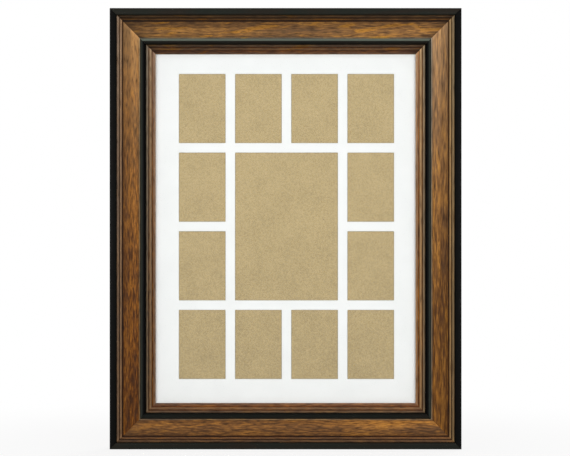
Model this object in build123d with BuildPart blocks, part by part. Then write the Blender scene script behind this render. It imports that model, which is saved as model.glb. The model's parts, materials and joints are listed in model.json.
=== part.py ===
"""Wall-hung collage photo frame: mitred moulding, glass, window mat, backing and fittings.

Millimetres. X points right, Z up and the front faces -Y. The origin is the centre of the
outline on the wall plane, where the rubber bumpers touch the wall.
"""
from build123d import *
from dataclasses import dataclass
from math import atan, cos, degrees, pi
import os

# Photo grid of the mat: four by four small photos, the middle four replaced by a large one
grid_count = 4
large_photo_span = 2
photo_width = 63.5
photo_height = 88.9
photo_overlap = 5.7
mat_margin = 25.4
window_rise = 3.5
window_shift = 1.0
window_slope_width = 0.6

# Glazing pack, from the front to the rear
glass_thickness = 2.0
mat_thickness = 1.5
kraft_thickness = 1.5
board_thickness = 3.0
board_recess = 0.2

# Moulding: its whole width, and the rabbet that holds the pack, with more play at its sides
moulding_width = 50.8
lip_overlap = 6.35
rabbet_clearance = 1.0
side_play = 0.6

# Members of the moulding from the outer side to the sight, the scoop taking what is left
band_width = 7.6
bead_1_width = 3.1
outer_quirk_width = 0.6
bead_2_width = 2.2
groove_width = 1.6
black_bead_width = 6.6
bead_3_width = 2.7
inner_quirk_width = 0.5
bead_4_width = 3.2
lip_quirk_width = 0.6
lip_width = 3.5

# Levels of the members above the rails' back, and how far the curved ones rise or sink
band_level = 25.0
band_round = 1.6
bead_1_level = 21.8
bead_1_rise = 1.2
outer_quirk_level = 20.7
bead_2_level = 20.9
bead_2_rise = 1.1
groove_level = 18.8
scoop_outer_level = 19.8
scoop_inner_level = 18.2
scoop_sink = 1.6
black_bead_level = 19.0
black_bead_rise = 2.4
bead_3_level = 16.3
bead_3_rise = 1.1
inner_quirk_level = 13.6
bead_4_level = 14.0
bead_4_rise = 1.2
lip_quirk_level = 12.4
lip_outer_level = 13.2
lip_edge_level = 11.6

# V-nails that pull each mitre together, placed by shares of the width of the rails' back
v_nail_leg = 5.0
v_nail_thickness = 0.5
v_nail_depth = 10.0
v_nail_place_shares = (0.27, 0.8)

# Turn buttons on the back of the rails
button_length = 24.0
button_width = 10.0
button_thickness = 1.0
button_tail = 6.0
button_setback = 6.0
button_gap = 0.1
button_tip_length = 4.0
button_bend_run = 2.0
button_tip_lift = 0.7
end_button_spacing = 170.0
side_button_spacing = 270.0
pivot_clearance = 0.08

# Pan head wood screws of the turn buttons
button_screw_radius = 1.5
button_screw_length = 13.0
button_screw_head_radius = 2.9
button_screw_head_height = 1.8
screw_tip_radius = 0.2

# D-ring hangers on the side rails
hanger_drop = 165.0
knuckle_setback = 7.5
strap_length = 26.0
strap_width = 9.4
strap_thickness = 0.8
ring_wire_radius = 1.2
ring_wire_sides = 8
ring_corner = 2.4
ring_inner_width = 13.6
ring_inner_length = 11.0
knuckle_clearance = 0.08
strap_hole_clearance = 0.1

# Pan head wood screws of the hangers
hanger_screw_radius = 1.75
hanger_screw_length = 13.0
hanger_screw_head_radius = 3.3
hanger_screw_head_height = 1.9

# Screw form: its shank stands for the threaded one as a bar of flat sides, and the rest are
# shares of the head's and the shank's own sizes
shank_sides = 6
head_flat_share = 0.7
point_share = 0.25
recess_length_share = 1.05
recess_width_share = 0.24
recess_depth_share = 0.55

# Rubber bumpers at the lower corners, which set how far the frame stands off the wall
bumper_height = 4.8
bumper_radius = 5.0
bumper_inset = 24.0

# How far cutting shapes reach past what they cut
overrun = 1.0

# Sizes worked out from the ones above
glass_width = grid_count * photo_width + 2 * mat_margin
glass_height = grid_count * photo_height + 2 * mat_margin
sight_width = glass_width - 2 * (lip_overlap - side_play)
sight_height = glass_height - 2 * lip_overlap
frame_width = sight_width + 2 * moulding_width
frame_height = sight_height + 2 * moulding_width
rabbet_width = lip_overlap + rabbet_clearance
back_width = moulding_width - rabbet_width
rabbet_depth = glass_thickness + mat_thickness + kraft_thickness + board_thickness + board_recess
scoop_width = moulding_width - sum(
    (
        band_width,
        bead_1_width,
        outer_quirk_width,
        bead_2_width,
        groove_width,
        black_bead_width,
        bead_3_width,
        inner_quirk_width,
        bead_4_width,
        lip_quirk_width,
        lip_width,
    )
)
button_pivot_inset = back_width - button_setback
knuckle_inset = back_width - knuckle_setback
knuckle_inner_radius = ring_wire_radius + knuckle_clearance
knuckle_outer_radius = knuckle_inner_radius + strap_thickness
back_y = -bumper_height

rear = Vector(0, 1, 0)


@dataclass
class Side:
    """One side of the frame: the outer corner where its rail starts and how the rail lies."""

    start: Vector
    along: Vector
    inward: Vector
    length: float

    def section_plane(self):
        """Plane of the moulding's section: x runs inwards, y to the front."""
        return Plane(origin=self.start, x_dir=self.inward, z_dir=self.along)

    def corner_plane(self):
        """Back plane at the outer corner: x runs inwards, y along the rail, z to the rear."""
        return Plane(origin=self.start, x_dir=self.inward, z_dir=rear)

    def station(self, offset, inset):
        """Back plane at a place on the rail: y runs inwards, z to the rear.

        offset is measured from the rail's middle and inset from its outer edge.
        """
        middle = self.start + self.along * (self.length / 2)
        origin = middle - self.along * offset + self.inward * inset
        return Plane(origin=origin, x_dir=-self.along, z_dir=rear)


right_x = frame_width / 2
top_z = frame_height / 2
sides = {
    "top": Side(Vector(right_x, back_y, top_z), Vector(-1, 0, 0), Vector(0, 0, -1), frame_width),
    "bottom": Side(Vector(-right_x, back_y, -top_z), Vector(1, 0, 0), Vector(0, 0, 1), frame_width),
    "left": Side(Vector(-right_x, back_y, top_z), Vector(0, 0, -1), Vector(1, 0, 0), frame_height),
    "right": Side(Vector(right_x, back_y, -top_z), Vector(0, 0, 1), Vector(-1, 0, 0), frame_height),
}

# Each member between the band and the sight: width, level at its outer and inner edge, rise
moulding_members = [
    (bead_1_width, bead_1_level, bead_1_level, bead_1_rise),
    (outer_quirk_width, outer_quirk_level, outer_quirk_level, 0),
    (bead_2_width, bead_2_level, bead_2_level, bead_2_rise),
    (groove_width, groove_level, groove_level, 0),
    (scoop_width, scoop_outer_level, scoop_inner_level, -scoop_sink),
    (black_bead_width, black_bead_level, black_bead_level, black_bead_rise),
    (bead_3_width, bead_3_level, bead_3_level, bead_3_rise),
    (inner_quirk_width, inner_quirk_level, inner_quirk_level, 0),
    (bead_4_width, bead_4_level, bead_4_level, bead_4_rise),
    (lip_quirk_width, lip_quirk_level, lip_quirk_level, 0),
    (lip_width, lip_outer_level, lip_edge_level, 0),
]


def moulding_section():
    """Face of the moulding's section: x runs inwards from the outer side, y up from the back."""
    with BuildSketch() as section:
        with BuildLine():
            shoulder = band_level - band_round
            Line((0, 0), (0, shoulder))
            JernArc((0, shoulder), (0, 1), band_round, -90)
            Line((band_round, band_level), (band_width - band_round, band_level))
            JernArc((band_width - band_round, band_level), (1, 0), band_round, -90)
            last = (band_width, shoulder)
            for width, outer_level, inner_level, rise in moulding_members:
                first = (last[0], outer_level)
                Line(last, first)
                last = (last[0] + width, inner_level)
                if rise:
                    SagittaArc(first, last, rise)
                else:
                    Line(first, last)
            shoulder_edge = (last[0], rabbet_depth)
            Polyline(last, shoulder_edge, (back_width, rabbet_depth), (back_width, 0), (0, 0))
        make_face()
    return section.sketch


def pan_head_screw(shank_radius, length, head_radius, head_height):
    """Cross-recessed wood screw along Z, its point down and its head seated on the XY plane."""
    flat = head_radius * head_flat_share
    point = length * point_share
    half_across_flats = shank_radius * cos(pi / shank_sides)
    point_slope = degrees(atan((half_across_flats - screw_tip_radius) / point))
    with BuildPart() as screw:
        with BuildSketch(Plane.XZ):
            with BuildLine():
                Polyline((0, 0), (head_radius, 0), (flat, head_height), (0, head_height), close=True)
            make_face()
        revolve(axis=Axis.Z)
        with BuildSketch():
            RegularPolygon(shank_radius, shank_sides)
        extrude(amount=point - length)
        with BuildSketch(Plane.XY.offset(point - length)):
            RegularPolygon(shank_radius, shank_sides)
        extrude(amount=-point, taper=point_slope)
        with BuildSketch(Plane.XY.offset(head_height)):
            Rectangle(head_radius * recess_length_share, head_radius * recess_width_share)
            Rectangle(head_radius * recess_width_share, head_radius * recess_length_share)
        extrude(amount=-head_height * recess_depth_share, mode=Mode.SUBTRACT)
    return screw.part


# Turn button pivots, two on each rail, named by their place seen from the front
half_end = end_button_spacing / 2
half_side = side_button_spacing / 2
button_stations = {
    "turn_button_top_left": sides["top"].station(-half_end, button_pivot_inset),
    "turn_button_top_right": sides["top"].station(half_end, button_pivot_inset),
    "turn_button_bottom_left": sides["bottom"].station(half_end, button_pivot_inset),
    "turn_button_bottom_right": sides["bottom"].station(-half_end, button_pivot_inset),
    "turn_button_left_upper": sides["left"].station(half_side, button_pivot_inset),
    "turn_button_left_lower": sides["left"].station(-half_side, button_pivot_inset),
    "turn_button_right_upper": sides["right"].station(-half_side, button_pivot_inset),
    "turn_button_right_lower": sides["right"].station(half_side, button_pivot_inset),
}

# Hanger knuckles, one on each side rail at the same height
hanger_offset = frame_height / 2 - hanger_drop
hanger_stations = {
    "left": sides["left"].station(hanger_offset, knuckle_inset),
    "right": sides["right"].station(-hanger_offset, knuckle_inset),
}
strap_hole_y = strap_width / 2 - strap_length

os.makedirs("parts", exist_ok=True)
finished = []


def keep(part, label):
    """Label a finished piece and write it to its own file."""
    part.label = label
    export_step(part, f"parts/{label}.step")
    finished.append(part)


# Screws of the turn buttons, their heads just clear of the buttons that turn under them
button_screw = pan_head_screw(
    button_screw_radius, button_screw_length, button_screw_head_radius, button_screw_head_height
)
head_seat = button_gap + button_thickness + button_gap
with BuildPart() as turn_button_screws:
    with Locations(*[pivot.offset(head_seat) for pivot in button_stations.values()]):
        add(button_screw)
keep(turn_button_screws.part, "turn_button_screws")

# Screws of the hangers, through the round end of each strap
hanger_screw = pan_head_screw(
    hanger_screw_radius, hanger_screw_length, hanger_screw_head_radius, hanger_screw_head_height
)
with BuildPart() as hanger_screws:
    with Locations(*hanger_stations.values()):
        with Locations((0, strap_hole_y, 2 * strap_thickness)):
            add(hanger_screw)
keep(hanger_screws.part, "hanger_screws")

# V-nails, pressed in flush with the back, one leg in each rail of a corner
with BuildPart() as v_nails:
    for side in sides.values():
        with BuildSketch(side.corner_plane()):
            for share in v_nail_place_shares:
                with BuildLine():
                    inset = share * back_width
                    end = inset + v_nail_leg
                    inner = inset + v_nail_thickness
                    Polyline(
                        (inset, inset),
                        (end, inset),
                        (end, inner),
                        (inner, inner),
                        (inner, end),
                        (inset, end),
                        close=True,
                    )
                make_face()
        extrude(amount=-v_nail_depth)
keep(v_nails.part, "v_nails")

# Rails: one milled moulding, mitred at both ends, with its nail slots and pilot holes
moulding_face = moulding_section()
for name, side in sides.items():
    with BuildPart() as rail:
        with BuildSketch(side.section_plane()):
            add(moulding_face)
        extrude(amount=side.length)
        far_corner = side.start + side.along * side.length
        split(bisect_by=Plane(origin=side.start, z_dir=side.along - side.inward), keep=Keep.TOP)
        split(bisect_by=Plane(origin=far_corner, z_dir=-side.along - side.inward), keep=Keep.TOP)
        add(v_nails.part, mode=Mode.SUBTRACT)
        add(turn_button_screws.part, mode=Mode.SUBTRACT)
        add(hanger_screws.part, mode=Mode.SUBTRACT)
    keep(rail.part, f"{name}_rail")

# Glazing pack: sheets of one outline, which stand on the bottom rabbet
shoulder_y = back_y - rabbet_depth
glass_plane = Plane(origin=(0, shoulder_y, -rabbet_clearance), x_dir=(1, 0, 0), z_dir=(0, -1, 0))
mat_plane = glass_plane.offset(-glass_thickness)
kraft_plane = mat_plane.offset(-mat_thickness)
board_plane = kraft_plane.offset(-kraft_thickness)

with BuildPart() as glass_pane:
    with BuildSketch(glass_plane):
        Rectangle(glass_width, glass_height)
    extrude(amount=-glass_thickness)
keep(glass_pane.part, "glass_pane")

# Window mat: the middle cells of the grid give way to one large window
cell_offsets = [index - (grid_count - 1) / 2 for index in range(grid_count)]
small_window_places = [
    (column * photo_width + window_shift, row * photo_height + window_rise)
    for column in cell_offsets
    for row in cell_offsets
    if max(abs(column), abs(row)) > large_photo_span / 2
]
window_slope = degrees(atan(window_slope_width / mat_thickness))
window_trim = 2 * (photo_overlap - window_slope_width)
with BuildPart() as window_mat:
    with BuildSketch(mat_plane):
        Rectangle(glass_width, glass_height)
    extrude(amount=-mat_thickness)
    with BuildSketch(mat_plane):
        with Locations(*small_window_places):
            Rectangle(photo_width - window_trim, photo_height - window_trim)
        with Locations((window_shift, window_rise)):
            Rectangle(
                large_photo_span * photo_width - window_trim,
                large_photo_span * photo_height - window_trim,
            )
    extrude(amount=-mat_thickness, taper=window_slope, mode=Mode.SUBTRACT)
keep(window_mat.part, "window_mat")

with BuildPart() as kraft_backing_sheet:
    with BuildSketch(kraft_plane):
        Rectangle(glass_width, glass_height)
    extrude(amount=-kraft_thickness)
keep(kraft_backing_sheet.part, "kraft_backing_sheet")

with BuildPart() as rear_backing_board:
    with BuildSketch(board_plane):
        Rectangle(glass_width, glass_height)
    extrude(amount=-board_thickness)
keep(rear_backing_board.part, "rear_backing_board")

# Turn button: a strip with round ends, bent so that its tip lies over the board. Its pivot is
# on the Z axis and it reaches along Y, above the rail's back at the XY plane.
reach = button_length - button_tail
bend_end = reach - button_tip_length
bend_start = bend_end - button_bend_run
lifted = button_gap + button_tip_lift
blank_height = lifted + button_thickness + overrun
with BuildPart() as turn_button:
    with BuildSketch(Plane.YZ):
        with BuildLine():
            Polyline(
                (-button_tail, button_gap),
                (bend_start, button_gap),
                (bend_end, lifted),
                (reach, lifted),
                (reach, lifted + button_thickness),
                (bend_end, lifted + button_thickness),
                (bend_start, button_gap + button_thickness),
                (-button_tail, button_gap + button_thickness),
                close=True,
            )
        make_face()
    extrude(amount=button_width, both=True)
    with BuildSketch():
        with Locations((0, reach - button_length / 2)):
            SlotOverall(button_length, button_width, rotation=90)
    extrude(amount=blank_height, mode=Mode.INTERSECT)
    with BuildSketch():
        Circle(button_screw_radius + pivot_clearance)
    extrude(amount=blank_height, mode=Mode.SUBTRACT)

for name, pivot in button_stations.items():
    with BuildPart() as placed_button:
        with Locations(pivot):
            add(turn_button.part)
    keep(placed_button.part, name)

# D-ring hanger: a folded strap, and the ring that swings in its knuckle. The strap lies along Y
# on the XY plane, and the ring's axis runs along X above the origin.
with BuildPart() as strap:
    with BuildSketch(Plane.YZ):
        with Locations((-strap_length / 2, strap_thickness)):
            Rectangle(strap_length, 2 * strap_thickness)
        with Locations((0, knuckle_outer_radius)):
            Circle(knuckle_outer_radius)
            Circle(knuckle_inner_radius, mode=Mode.SUBTRACT)
    extrude(amount=strap_width, both=True)
    with BuildSketch():
        with Locations((0, strap_hole_y)):
            Circle(strap_width / 2)
        with Locations((0, (strap_hole_y + knuckle_outer_radius) / 2)):
            Rectangle(strap_width, knuckle_outer_radius - strap_hole_y)
    extrude(amount=2 * knuckle_outer_radius + overrun, mode=Mode.INTERSECT)
    with BuildSketch():
        with Locations((0, strap_hole_y)):
            Circle(hanger_screw_radius + strap_hole_clearance)
    extrude(amount=2 * strap_thickness + overrun, mode=Mode.SUBTRACT)

ring_half_width = ring_inner_width / 2 + ring_wire_radius
bar_end = ring_half_width - ring_corner
bow_start = ring_inner_length + 2 * ring_wire_radius - ring_half_width
with BuildPart() as ring:
    with BuildLine(Plane.XY.offset(knuckle_outer_radius)) as ring_path:
        Polyline((0, 0), (bar_end, 0), (ring_half_width, ring_corner), (ring_half_width, bow_start))
        JernArc((ring_half_width, bow_start), (0, 1), ring_half_width, 90)
    with BuildSketch(Plane.YZ):
        with Locations((0, knuckle_outer_radius)):
            RegularPolygon(ring_wire_radius, ring_wire_sides, rotation=180 / ring_wire_sides)
    sweep(path=ring_path.wires()[0], transition=Transition.RIGHT)
    mirror(about=Plane.YZ)

for name, knuckle in hanger_stations.items():
    with BuildPart() as hanger_strap:
        with Locations(knuckle):
            add(strap.part)
    keep(hanger_strap.part, f"hanger_strap_{name}")
    with BuildPart() as hanger_ring:
        with Locations(knuckle):
            add(ring.part)
    keep(hanger_ring.part, f"hanger_ring_{name}")

# Rubber bumpers at the two lower corners
bumper_corners = {"left": sides["bottom"], "right": sides["right"]}
for name, side in bumper_corners.items():
    with BuildPart() as wall_bumper:
        with BuildSketch(side.corner_plane()):
            with Locations((bumper_inset, bumper_inset)):
                Circle(bumper_radius)
        extrude(amount=bumper_height)
    keep(wall_bumper.part, f"bumper_{name}")

for part in finished:
    size = part.bounding_box().size
    print(f"{part.label}: {size.X:.2f} x {size.Y:.2f} x {size.Z:.2f} mm, {len(part.solids())} solids")
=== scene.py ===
"""Studio scene of a wall-hung collage photo frame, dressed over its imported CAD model.

Metres, in the CAD model's frame: X runs right, Z up, the glazed front faces -Y and the wall
plane is Y 0. Each sub-assembly is a class that holds its sizes and builds and dresses its
pieces, and each finish is a frozen dataclass that makes its own node material.
"""

from __future__ import annotations

import json
import logging
from collections.abc import Sequence
from dataclasses import dataclass, field
from enum import Enum
from math import acos, atan2, cos, hypot, pi, radians, sin, tau

import bmesh
import bpy
from mathutils import Matrix, Vector

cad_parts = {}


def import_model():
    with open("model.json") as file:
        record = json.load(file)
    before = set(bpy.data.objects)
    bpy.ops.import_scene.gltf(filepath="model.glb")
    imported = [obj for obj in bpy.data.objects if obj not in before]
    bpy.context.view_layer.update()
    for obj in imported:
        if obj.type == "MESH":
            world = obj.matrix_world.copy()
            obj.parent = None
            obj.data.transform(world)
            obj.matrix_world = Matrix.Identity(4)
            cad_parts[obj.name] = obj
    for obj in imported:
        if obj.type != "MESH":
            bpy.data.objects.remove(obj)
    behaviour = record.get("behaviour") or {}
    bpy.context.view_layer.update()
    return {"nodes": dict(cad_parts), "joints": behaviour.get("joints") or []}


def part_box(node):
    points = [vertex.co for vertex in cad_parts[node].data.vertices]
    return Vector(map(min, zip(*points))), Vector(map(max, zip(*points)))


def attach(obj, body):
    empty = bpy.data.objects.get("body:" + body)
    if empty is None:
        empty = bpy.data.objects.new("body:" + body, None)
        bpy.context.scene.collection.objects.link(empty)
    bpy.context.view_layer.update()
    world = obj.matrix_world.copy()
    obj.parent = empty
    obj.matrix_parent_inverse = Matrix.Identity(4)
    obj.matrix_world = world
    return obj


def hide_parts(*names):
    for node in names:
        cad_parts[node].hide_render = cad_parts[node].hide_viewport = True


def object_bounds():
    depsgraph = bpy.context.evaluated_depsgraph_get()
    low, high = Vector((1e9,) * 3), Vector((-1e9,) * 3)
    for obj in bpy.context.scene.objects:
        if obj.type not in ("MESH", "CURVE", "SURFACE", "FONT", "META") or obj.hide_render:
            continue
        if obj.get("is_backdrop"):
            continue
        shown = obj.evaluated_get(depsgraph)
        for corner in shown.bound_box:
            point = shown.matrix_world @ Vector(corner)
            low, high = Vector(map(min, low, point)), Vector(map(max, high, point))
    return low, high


LOG = logging.getLogger("collage_frame")
MM = 0.001

Point = tuple[float, float]
ColourShare = tuple[float, float, float]
PLAIN: ColourShare = (1.0, 1.0, 1.0)
GREY: ColourShare = (0.5, 0.5, 0.5)
Feed = float | Sequence[float] | bpy.types.NodeSocket


# Colours and node trees


@dataclass(frozen=True)
class Tone:
    """A colour as it reads on screen, 0 to 255 a channel."""

    red: float
    green: float
    blue: float

    def linear(self) -> tuple[float, float, float, float]:
        """The colour in the linear values that shaders take.

        Returns:
            Red, green, blue and a full alpha.
        """
        channels = []
        for value in (self.red, self.green, self.blue):
            share = value / 255
            channels.append(share / 12.92 if share <= 0.04045 else ((share + 0.055) / 1.055) ** 2.4)
        return (*channels, 1.0)


class Graph:
    """Short calls for the nodes of one tree.

    Args:
        tree: The shader or geometry node tree that the nodes go into.
    """

    def __init__(self, tree: bpy.types.NodeTree) -> None:
        """Keep the tree that the nodes go into."""
        self.tree = tree

    def node(self, kind: str, **settings: object) -> bpy.types.Node:
        """Add a node and set its own properties.

        Args:
            kind: The node's type name.
            **settings: Properties of the node, by name.

        Returns:
            The new node.
        """
        made = self.tree.nodes.new(kind)
        for name, value in settings.items():
            setattr(made, name, value)
        return made

    def feed(self, socket: bpy.types.NodeSocket, value: Feed) -> None:
        """Give a socket a link or a value.

        Args:
            socket: The input that takes it.
            value: The output to link, or the value to set.
        """
        if isinstance(value, bpy.types.NodeSocket):
            self.tree.links.new(value, socket)
        else:
            socket.default_value = value

    def math(self, operation: str, first: Feed, second: Feed = 0.0) -> bpy.types.NodeSocket:
        """Result of one Math node.

        Args:
            operation: The Math node's operation.
            first: Its first value.
            second: Its second value.

        Returns:
            The node's output.
        """
        made = self.node("ShaderNodeMath", operation=operation)
        self.feed(made.inputs[0], first)
        self.feed(made.inputs[1], second)
        return made.outputs[0]

    def times(self, first: Feed, second: Feed) -> bpy.types.NodeSocket:
        """Product of two values."""
        return self.math("MULTIPLY", first, second)

    def rest_of(self, share: Feed) -> bpy.types.NodeSocket:
        """What a share leaves of one."""
        return self.math("SUBTRACT", 1.0, share)

    def total(self, *parts: tuple[Feed, float]) -> bpy.types.NodeSocket:
        """Sum of values, each times its weight.

        Args:
            *parts: Each value with its weight.

        Returns:
            The sum.
        """
        scaled = [self.times(value, weight) for value, weight in parts]
        made = scaled[0]
        for one in scaled[1:]:
            made = self.math("ADD", made, one)
        return made

    def vector_math(self, operation: str, first: Feed, second: Feed) -> bpy.types.NodeSocket:
        """Result of one Vector Math node.

        Args:
            operation: The Vector Math node's operation.
            first: Its first vector.
            second: Its second vector.

        Returns:
            The node's vector output.
        """
        made = self.node("ShaderNodeVectorMath", operation=operation)
        self.feed(made.inputs[0], first)
        self.feed(made.inputs[1], second)
        return made.outputs[0]

    def split(self, vector: Feed) -> bpy.types.NodeOutputs:
        """The parts of a vector, by the names X, Y and Z.

        Args:
            vector: The vector to take apart.

        Returns:
            The outputs of the node that does it.
        """
        made = self.node("ShaderNodeSeparateXYZ")
        self.feed(made.inputs[0], vector)
        return made.outputs

    def join(self, x: Feed = 0.0, y: Feed = 0.0, z: Feed = 0.0) -> bpy.types.NodeSocket:
        """A vector from its parts.

        Args:
            x: Its X.
            y: Its Y.
            z: Its Z.

        Returns:
            The vector.
        """
        made = self.node("ShaderNodeCombineXYZ")
        for socket, value in zip(made.inputs, (x, y, z)):
            self.feed(socket, value)
        return made.outputs[0]

    def spread(self, value: Feed, low: float, high: float, smooth: bool = True) -> bpy.types.NodeSocket:
        """Map a value so that low becomes 0 and high becomes 1, held outside them.

        Args:
            value: What is mapped.
            low: The value that becomes 0.
            high: The value that becomes 1.
            smooth: Whether the step between them is eased.

        Returns:
            The mapped value.
        """
        made = self.node("ShaderNodeMapRange", interpolation_type="SMOOTHSTEP" if smooth else "LINEAR")
        self.feed(made.inputs["Value"], value)
        self.feed(made.inputs["From Min"], low)
        self.feed(made.inputs["From Max"], high)
        return made.outputs["Result"]

    def mix(self, share: Feed, first: Feed, second: Feed, blend: str = "MIX") -> bpy.types.NodeSocket:
        """Mix two colours.

        Args:
            share: How much of the second colour shows, 0 to 1.
            first: The first colour.
            second: The second colour.
            blend: The Mix node's blend type.

        Returns:
            The mixed colour.
        """
        made = self.node("ShaderNodeMix", data_type="RGBA", blend_type=blend)
        self.feed(made.inputs[0], share)
        self.feed(made.inputs[6], first)
        self.feed(made.inputs[7], second)
        return made.outputs[2]

    def multiply(self, first: Feed, second: Feed) -> bpy.types.NodeSocket:
        """One colour times another."""
        return self.mix(1.0, first, second, "MULTIPLY")

    def ramp(self, value: Feed, places: Sequence[float], tones: Sequence[Tone]) -> bpy.types.NodeSocket:
        """Colour ramp through tones.

        Args:
            value: The value that picks the colour.
            places: The place of each tone, from 0 to 1.
            tones: The tones.

        Returns:
            The ramp's colour.
        """
        made = self.node("ShaderNodeValToRGB")
        elements = made.color_ramp.elements
        while len(elements) < len(tones):
            elements.new(0.5)
        for element, place, tone in zip(elements, places, tones):
            element.position = place
            element.color = tone.linear()
        self.feed(made.inputs[0], value)
        return made.outputs[0]

    def bump(self, height: Feed, depth: float) -> bpy.types.NodeSocket:
        """Normal of a Bump node.

        Args:
            height: The height field, 0 to 1.
            depth: How deep one unit of it is, in metres.

        Returns:
            The bumped normal.
        """
        made = self.node("ShaderNodeBump")
        self.feed(made.inputs["Height"], height)
        self.feed(made.inputs["Distance"], depth)
        self.feed(made.inputs["Strength"], 1.0)
        return made.outputs["Normal"]

    def effect(self, group: bpy.types.NodeTree, **values: Feed) -> bpy.types.NodeSocket:
        """Place a shared effect with this material's own values.

        Args:
            group: The effect's node group.
            **values: Its inputs by name.

        Returns:
            The group's first output.
        """
        made = self.node("ShaderNodeGroup", node_tree=group)
        for name, value in values.items():
            self.feed(made.inputs[name], value)
        return made.outputs[0]


# Effects that several finishes share


@dataclass
class SharedEffects:
    """Node groups for effects that several finishes use, each built once."""

    groups: dict[str, bpy.types.NodeTree] = field(default_factory=dict)

    def _start(self, name: str, inputs: dict[str, float]) -> tuple[Graph, bpy.types.NodeOutputs]:
        """Open a group with a Vector input, some value inputs and one Value output.

        Args:
            name: The group's name.
            inputs: Default of each value input, by name.

        Returns:
            The group's graph and what it is given, by name.
        """
        tree = bpy.data.node_groups.new(name, "ShaderNodeTree")
        tree.interface.new_socket(name="Vector", in_out="INPUT", socket_type="NodeSocketVector")
        for label, default in inputs.items():
            socket = tree.interface.new_socket(name=label, in_out="INPUT", socket_type="NodeSocketFloat")
            socket.default_value = default
        tree.interface.new_socket(name="Value", in_out="OUTPUT", socket_type="NodeSocketFloat")
        self.groups[name] = tree
        graph = Graph(tree)
        return graph, graph.node("NodeGroupInput").outputs

    def _end(self, graph: Graph, value: bpy.types.NodeSocket) -> None:
        """Give a group its output value."""
        graph.feed(graph.node("NodeGroupOutput").inputs["Value"], value)

    def _noise(self, graph: Graph, place: Feed, detail: Feed, warp: Feed = 0.0) -> bpy.types.NodeSocket:
        """Noise with cells of one unit.

        Args:
            graph: The group's graph.
            place: Where the noise is read.
            detail: Its number of octaves.
            warp: How far its cells are bent.

        Returns:
            The noise, about 0.5.
        """
        noise = graph.node("ShaderNodeTexNoise")
        graph.feed(noise.inputs["Vector"], place)
        graph.feed(noise.inputs["Scale"], 1.0)
        graph.feed(noise.inputs["Detail"], detail)
        graph.feed(noise.inputs["Distortion"], warp)
        return noise.outputs["Fac"]

    def grain(self) -> bpy.types.NodeTree:
        """Noise drawn out to Length along the grain and Width across it, one field for each Layer.

        Returns:
            The effect's node group.
        """
        if "grain" not in self.groups:
            inputs = {"Length": 0.01, "Width": 0.001, "Layer": 0.0, "Detail": 2.0, "Warp": 0.0}
            graph, given = self._start("grain", inputs)
            size = graph.join(given["Length"], given["Width"], given["Width"])
            place = graph.vector_math("DIVIDE", given["Vector"], size)
            place = graph.vector_math("ADD", place, graph.join(z=given["Layer"]))
            self._end(graph, self._noise(graph, place, given["Detail"], given["Warp"]))
        return self.groups["grain"]

    def flecks(self) -> bpy.types.NodeTree:
        """Sparse round specks, Spacing apart, Size of that wide, in a Share of the places.

        Returns:
            The effect's node group.
        """
        if "flecks" not in self.groups:
            graph, given = self._start("flecks", {"Spacing": 0.01, "Size": 0.1, "Share": 0.2})
            cells = graph.node("ShaderNodeTexVoronoi")
            graph.feed(cells.inputs["Vector"], graph.vector_math("DIVIDE", given["Vector"], given["Spacing"]))
            graph.feed(cells.inputs["Scale"], 1.0)
            chance = graph.node("ShaderNodeSeparateColor")
            graph.feed(chance.inputs[0], cells.outputs["Color"])
            chosen = graph.math("LESS_THAN", chance.outputs[0], given["Share"])
            size = graph.times(given["Size"], graph.math("ADD", chance.outputs[1], 0.3))
            near = graph.math("DIVIDE", cells.outputs["Distance"], size)
            self._end(graph, graph.times(graph.rest_of(graph.spread(near, 0.5, 1.0)), chosen))
        return self.groups["flecks"]

    def uneven(self) -> bpy.types.NodeTree:
        """A value that wanders between Low and High in patches of Size.

        Returns:
            The effect's node group.
        """
        if "uneven" not in self.groups:
            graph, given = self._start("uneven", {"Size": 0.01, "Low": 0.4, "High": 0.6, "Detail": 3.0})
            place = graph.vector_math("DIVIDE", given["Vector"], given["Size"])
            noise = self._noise(graph, place, given["Detail"])
            reach = graph.math("SUBTRACT", given["High"], given["Low"])
            patch = graph.times(graph.spread(noise, 0.25, 0.75, smooth=False), reach)
            self._end(graph, graph.math("ADD", patch, given["Low"]))
        return self.groups["uneven"]


EFFECTS = SharedEffects()


@dataclass(frozen=True)
class Streaks:
    """A field of grain noise in metres: its streaks, its own layer, its octaves and its bend."""

    length: float
    width: float
    layer: float
    detail: float = 2.0
    warp: float = 0.0

    def draw(self, graph: Graph, place: Feed) -> bpy.types.NodeSocket:
        """The field's noise.

        Args:
            graph: The material's node graph.
            place: Where it is read, with X along the grain.

        Returns:
            The noise, about 0.5.
        """
        size = {"Length": self.length, "Width": self.width}
        return graph.effect(
            EFFECTS.grain(), Vector=place, Layer=self.layer, Detail=self.detail, Warp=self.warp, **size
        )


@dataclass(frozen=True)
class Patches:
    """A value that wanders between low and high in patches of a size in metres."""

    size: float
    low: float = 0.0
    high: float = 1.0
    detail: float = 3.0

    def draw(self, graph: Graph, place: Feed) -> bpy.types.NodeSocket:
        """The value.

        Args:
            graph: The material's node graph.
            place: Where it is read.

        Returns:
            The value, from low to high.
        """
        return graph.effect(
            EFFECTS.uneven(), Vector=place, Size=self.size, Low=self.low, High=self.high, Detail=self.detail
        )


@dataclass(frozen=True)
class Flecks:
    """Round specks: their spacing in metres, their width as a share of it, and how many places have one."""

    spacing: float
    size: float
    share: float

    def draw(self, graph: Graph, place: Feed) -> bpy.types.NodeSocket:
        """Where the specks are.

        Args:
            graph: The material's node graph.
            place: Where they are read.

        Returns:
            The specks, 1 in each and 0 between them.
        """
        return graph.effect(EFFECTS.flecks(), Vector=place, Spacing=self.spacing, Size=self.size, Share=self.share)


# Finishes


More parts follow.
